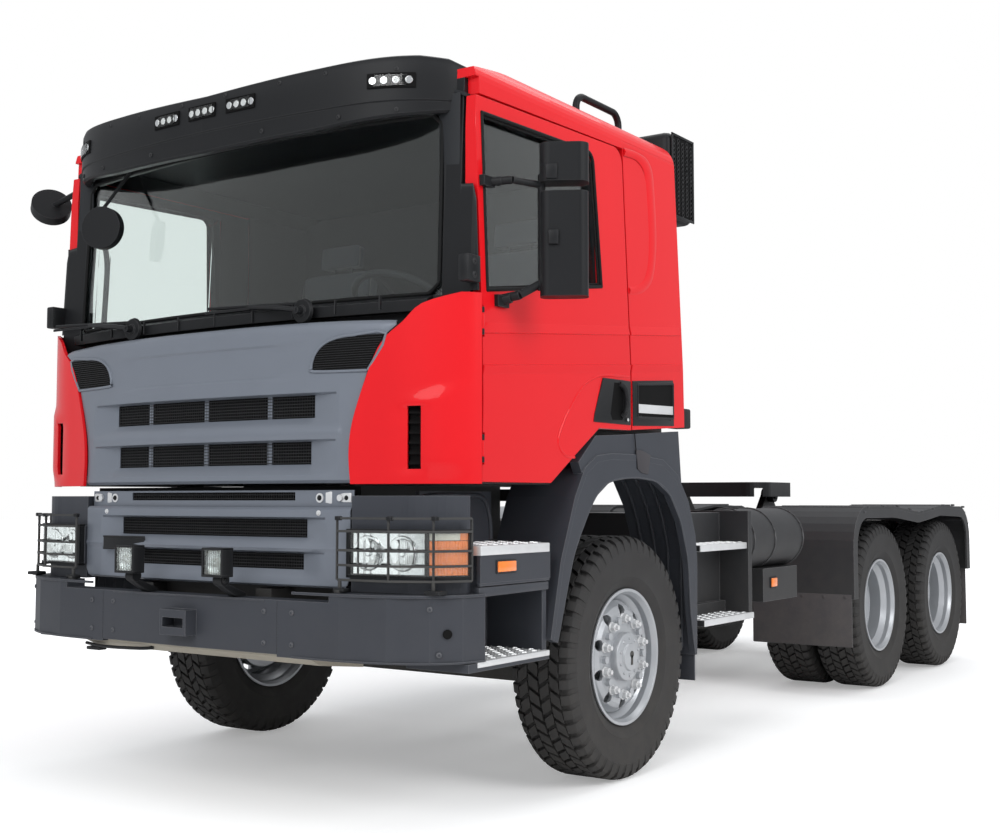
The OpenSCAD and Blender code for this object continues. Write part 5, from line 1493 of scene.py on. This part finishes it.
def build_tyres():
    """All ten tyres, as six pieces, each with its hub."""
    inner_edge, outer_edge = (corner.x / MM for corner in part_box("tyre_mid_left"))
    half = (TYRE_HIGH.x - TYRE_LOW.x) / 2 / MM
    twins = [outer_edge - half, inner_edge + half]
    for place, middles in (("front", [TYRE_X]), ("mid", twins), ("rear", twins)):
        for hand, side in (("left", 1), ("right", -1)):
            low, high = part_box(f"tyre_{place}_{hand}")
            y = ((low.y + high.y) / 2 - AXLE_Y) / MM
            build_tyre(f"tyre_{place}_{hand}_treads", f"wheel_{place}_{hand}", y, middles, side)
            build_hub(place, hand, side, y)


def build_hub(place, hand, side, y):
    """Nuts with their studs, and the cover over the hub with its bolts and, in front, its keyhole."""
    front = place == "front"
    body = f"wheel_{place}_{hand}"
    nut_x = TYRE_X + 105 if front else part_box("tyre_mid_left")[0].x / MM + 337
    reach = 24 if front else 30
    bm = bmesh.new()
    centre = (nut_x, y, TYRE_R)
    top = TYRE_R + 167.5
    verts = rod(bm, (nut_x, y, top), (nut_x + 5, y, top), 24, 22, 18)
    verts += rod(bm, (nut_x + 4, y, top), (nut_x + reach, y, top), 20.5, 19, 6)
    verts += rod(bm, (nut_x + reach, y, top), (nut_x + reach + 14, y, top), 11, 10, 12)
    around(bm, verts, centre, 10)
    piece(f"wheel_nuts_{place}_{hand}", bm, "bright metal", body, side=side)
    bm = bmesh.new()
    hub = nut_x + (20 if front else 45)
    rim = [(104, -30), (108, 0), (104, 10), (96, 14), (62, 16), (58, 24), (30, 27), (0.5, 28), (0.5, -30)]
    turned(bm, rim, (hub, y, TYRE_R), 48)
    verts = rod(bm, (hub + 12, y, TYRE_R + 82), (hub + 20, y, TYRE_R + 82), 8, 7.5, 6)
    around(bm, verts, (hub, y, TYRE_R), 10)
    piece(f"hub_cover_{place}_{hand}", bm, "wheel silver" if front else "guard plastic", body,
          side=side)
    if front:
        bm = bmesh.new()
        rod(bm, (hub + 26, y, TYRE_R + 12), (hub + 29, y, TYRE_R + 12), 15, sides=20)
        block(bm, (hub + 26, y - 8, TYRE_R - 34), (hub + 29, y + 8, TYRE_R + 8))
        piece(f"hub_keyhole_{place}_{hand}", bm, "cast iron", body, side=side)


# ---- inside the cab ----

def cushion(name, low, high, lean=0.0, replaces=()):
    """A crowned pad with sides that pull in between its corners."""
    bm = bmesh.new()
    bmesh.ops.create_cube(bm, size=2.0)
    bmesh.ops.subdivide_edges(bm, edges=bm.edges[:], cuts=5, use_grid_fill=True)
    middle, half = (at(*low) + at(*high)) / 2, (at(*high) - at(*low)) / 2
    thin = min(range(3), key=lambda i: half[i])
    for v in bm.verts:
        flat = [c for i, c in enumerate(v.co) if i != thin]
        crown = (1 - flat[0] ** 2) * (1 - flat[1] ** 2)
        at_side = max(abs(flat[0]), abs(flat[1])) > 0.99
        pinch = 1 - 0.06 * (1 - abs(v.co[thin])) if at_side else 1
        v.co[thin] *= 0.72 + 0.28 * crown
        for i in range(3):
            v.co[i] *= half[i] * (pinch if i != thin else 1)
        v.co = middle + v.co
    if lean:
        bmesh.ops.rotate(bm, cent=Vector((middle.x, middle.y, middle.z - half.z)), verts=bm.verts,
                         matrix=Matrix.Rotation(math.radians(lean), 3, "X"))
    shown = piece(name, bm, "seat fabric", "cab", replaces, crease=math.radians(80))
    soft = shown.modifiers.new("Round", "SUBSURF")
    soft.levels = soft.render_levels = 2


def build_seats():
    """Two seats of padded pieces, on their bases."""
    for hand, x in (("left", 560), ("right", -560)):
        first = ["seats"] if hand == "left" else []
        cushion(f"seat_pad_{hand}", (x - 243, -526, 1798), (x + 243, 40, 1900), replaces=first)
        cushion(f"seat_back_{hand}", (x - 236, -48, 1880), (x + 236, 58, 2420), lean=-7)
        cushion(f"head_rest_{hand}", (x - 130, 44, 2448), (x + 130, 118, 2566), lean=-6)
    bm = bmesh.new()
    for x in (-560, 560):
        block(bm, (x - 130, -395, 1600), (x + 168, -30, 1796), 12)
        for dx in (-60, 60):
            rod(bm, (x + dx, 84, 2400), (x + dx, 92, 2460), 7)
    piece("seat_bases", bm, "cab trim", "cab")


def build_dashboard():
    """Vents and covers on the dashboard, the entry handle at the right pillar, and the cab's lining."""
    bm = bmesh.new()
    for x in (-900, -620, -160, 160, 900):
        for i in range(5):
            block(bm, (x - 62, -906, 1800 + i * 12), (x + 62, -899, 1806 + i * 12), 1)
    block(bm, (390, -1000, 1956), (730, -880, 1992), 12)
    block(bm, (-420, -1180, 1934), (-250, -1060, 1962), 8)
    block(bm, (-120, -1200, 1934), (60, -1120, 1950), 5)
    handle = [(-1000, -1120, 1960), (-1010, -1100, 2120), (-1010, -1090, 2330), (-1000, -1110, 2420)]
    pipe(bm, smooth_line(handle, 6), 13)
    piece("dashboard_details", bm, "cab trim", "cab")
    bm = bmesh.new()
    block(bm, (-1146, 425, 1600), (1146, 436, 2834))
    block(bm, (-1040, -1140, 2826), (1040, 430, 2836))
    haunch = [(1036, 2836), (1152, 2786), (1152, 2771), (1036, 2822)]
    for side in (-1, 1):
        slab(bm, [(side * x, -1160, z) for x, z in haunch], (0, 1590, 0))
        block(bm, (side * 1142 - 4, -27, 1600), (side * 1142 + 4, 430, 2786))
        block(bm, (side * 1080 - 50, -1168, 2030), (side * 1080 + 50, -1160, 2790), 3)
    piece("cab_lining", bm, "cab trim", "cab")


# ---- operators, one for each group of pieces ----

class TRACTOR_OT_stage(bpy.types.Operator):
    """Set up the camera, the floor, the white surroundings and the soft lamps"""
    bl_idname = "tractor.stage"
    bl_label = "Stage"

    def execute(self, context):
        set_stage()
        return {"FINISHED"}


class TRACTOR_OT_finishes(bpy.types.Operator):
    """Make every finish and give it to the CAD nodes that stay in view"""
    bl_idname = "tractor.finishes"
    bl_label = "Finishes"

    def execute(self, context):
        paint_nodes()
        return {"FINISHED"}


class TRACTOR_OT_lid(bpy.types.Operator):
    """Press the grille lid with its two slots, its mesh and its corner vents"""
    bl_idname = "tractor.lid"
    bl_label = "Grille lid"

    def execute(self, context):
        build_lid()
        return {"FINISHED"}


class TRACTOR_OT_lower_grille(bpy.types.Operator):
    """Press the lower grille, with its mesh, latch castings and bare plate holder"""
    bl_idname = "tractor.lower_grille"
    bl_label = "Lower grille"

    def execute(self, context):
        build_lower_grille()
        return {"FINISHED"}


class TRACTOR_OT_corners(bpy.types.Operator):
    """Shape the corner panels' skin and the louvres in their slots"""
    bl_idname = "tractor.corners"
    bl_label = "Corner panels"

    def execute(self, context):
        build_corner_panels()
        return {"FINISHED"}


class TRACTOR_OT_screen(bpy.types.Operator):
    """Add the wipers' spindles, arms and blades and the windscreen's seal"""
    bl_idname = "tractor.screen"
    bl_label = "Wipers and seal"

    def execute(self, context):
        build_scuttle()
        return {"FINISHED"}


class TRACTOR_OT_visor(bpy.types.Operator):
    """Build the sun visor with its lamps and screws"""
    bl_idname = "tractor.visor"
    bl_label = "Sun visor"

    def execute(self, context):
        build_visor()
        return {"FINISHED"}


class TRACTOR_OT_headlamps(bpy.types.Operator):
    """Build the headlamps with reflectors, turn lamps, lenses and guard clips"""
    bl_idname = "tractor.headlamps"
    bl_label = "Headlamps"

    def execute(self, context):
        build_headlamps()
        return {"FINISHED"}


class TRACTOR_OT_work_lamps(bpy.types.Operator):
    """Build the square work lamps on their knuckles"""
    bl_idname = "tractor.work_lamps"
    bl_label = "Work lamps"

    def execute(self, context):
        build_work_lamps()
        return {"FINISHED"}


class TRACTOR_OT_bumper(bpy.types.Operator):
    """Add the bumper's bolts, the painted shade of its hole, its lips, and the pipe by the shield"""
    bl_idname = "tractor.bumper"
    bl_label = "Bumper"

    def execute(self, context):
        build_bumper()
        return {"FINISHED"}


class TRACTOR_OT_doors(bpy.types.Operator):
    """Trim both doors: window seals, pressings, handles and linings"""
    bl_idname = "tractor.doors"
    bl_label = "Doors"

    def execute(self, context):
        build_door(1)
        build_door(-1)
        return {"FINISHED"}


class TRACTOR_OT_cab_sides(bpy.types.Operator):
    """Press the cab's sides and add the vents behind the doors"""
    bl_idname = "tractor.cab_sides"
    bl_label = "Cab sides"

    def execute(self, context):
        build_cab_sides()
        return {"FINISHED"}


class TRACTOR_OT_roof(bpy.types.Operator):
    """Add the roof's seams and the rail's feet, and build the air intake"""
    bl_idname = "tractor.roof"
    bl_label = "Roof and air intake"

    def execute(self, context):
        build_roof()
        return {"FINISHED"}


class TRACTOR_OT_mirrors(bpy.types.Operator):
    """Add the glass and clamps of both sets of mirrors"""
    bl_idname = "tractor.mirrors"
    bl_label = "Mirrors"

    def execute(self, context):
        mirror_faces(1)
        mirror_faces(-1)
        return {"FINISHED"}


class TRACTOR_OT_steps(bpy.types.Operator):
    """Lay the chequer treads and fit the side markers and step panels"""
    bl_idname = "tractor.steps"
    bl_label = "Steps"

    def execute(self, context):
        build_steps()
        return {"FINISHED"}


class TRACTOR_OT_fenders(bpy.types.Operator):
    """Add the front fenders' joints, seams and ribs"""
    bl_idname = "tractor.fenders"
    bl_label = "Front fenders"

    def execute(self, context):
        build_fenders()
        return {"FINISHED"}


class TRACTOR_OT_rear(bpy.types.Operator):
    """Add the twin mudguards' ribs, the flaps and the air tank's bands"""
    bl_idname = "tractor.rear"
    bl_label = "Rear mudguards"

    def execute(self, context):
        build_rear()
        return {"FINISHED"}


class TRACTOR_OT_chassis(bpy.types.Operator):
    """Add the frame's bolts, the air pipes and the fifth wheel's studs"""
    bl_idname = "tractor.chassis"
    bl_label = "Chassis"

    def execute(self, context):
        build_chassis()
        return {"FINISHED"}


class TRACTOR_OT_wheels(bpy.types.Operator):
    """Build the treaded tyres, wheel nuts and hub covers"""
    bl_idname = "tractor.wheels"
    bl_label = "Wheels"

    def execute(self, context):
        build_tyres()
        return {"FINISHED"}


class TRACTOR_OT_inside(bpy.types.Operator):
    """Furnish the cab with padded seats, dashboard details and lining"""
    bl_idname = "tractor.inside"
    bl_label = "Inside the cab"

    def execute(self, context):
        build_seats()
        build_dashboard()
        return {"FINISHED"}


OPERATORS = (
    TRACTOR_OT_stage, TRACTOR_OT_finishes, TRACTOR_OT_lid, TRACTOR_OT_lower_grille, TRACTOR_OT_corners,
    TRACTOR_OT_screen, TRACTOR_OT_visor, TRACTOR_OT_headlamps, TRACTOR_OT_work_lamps, TRACTOR_OT_bumper,
    TRACTOR_OT_doors, TRACTOR_OT_cab_sides, TRACTOR_OT_roof, TRACTOR_OT_mirrors, TRACTOR_OT_steps,
    TRACTOR_OT_fenders, TRACTOR_OT_rear, TRACTOR_OT_chassis, TRACTOR_OT_wheels, TRACTOR_OT_inside)


class TRACTOR_PT_panel(bpy.types.Panel):
    """Lists the steps that build the tractor unit's looks"""
    bl_idname = "TRACTOR_PT_panel"
    bl_label = "Tractor unit"
    bl_space_type = "VIEW_3D"
    bl_region_type = "UI"
    bl_category = "Tractor"

    def draw(self, context):
        for operator in OPERATORS:
            self.layout.operator(operator.bl_idname)
        for group in (context.scene.tractor_colours, context.scene.tractor_sizes):
            for key in group.__annotations__:
                self.layout.prop(group, key)


CLASSES = (TractorColours, TractorSizes, *OPERATORS, TRACTOR_PT_panel)


def register():
    for cls in CLASSES:
        bpy.utils.register_class(cls)
    bpy.types.Scene.tractor_colours = bpy.props.PointerProperty(type=TractorColours)
    bpy.types.Scene.tractor_sizes = bpy.props.PointerProperty(type=TractorSizes)


def unregister():
    del bpy.types.Scene.tractor_sizes
    del bpy.types.Scene.tractor_colours
    for cls in reversed(CLASSES):
        bpy.utils.unregister_class(cls)


def main():
    """Builds everything in order."""
    register()
    for operator in OPERATORS:
        family, name = operator.bl_idname.split(".")
        getattr(getattr(bpy.ops, family), name)()


if __name__ == "__main__":
    main()
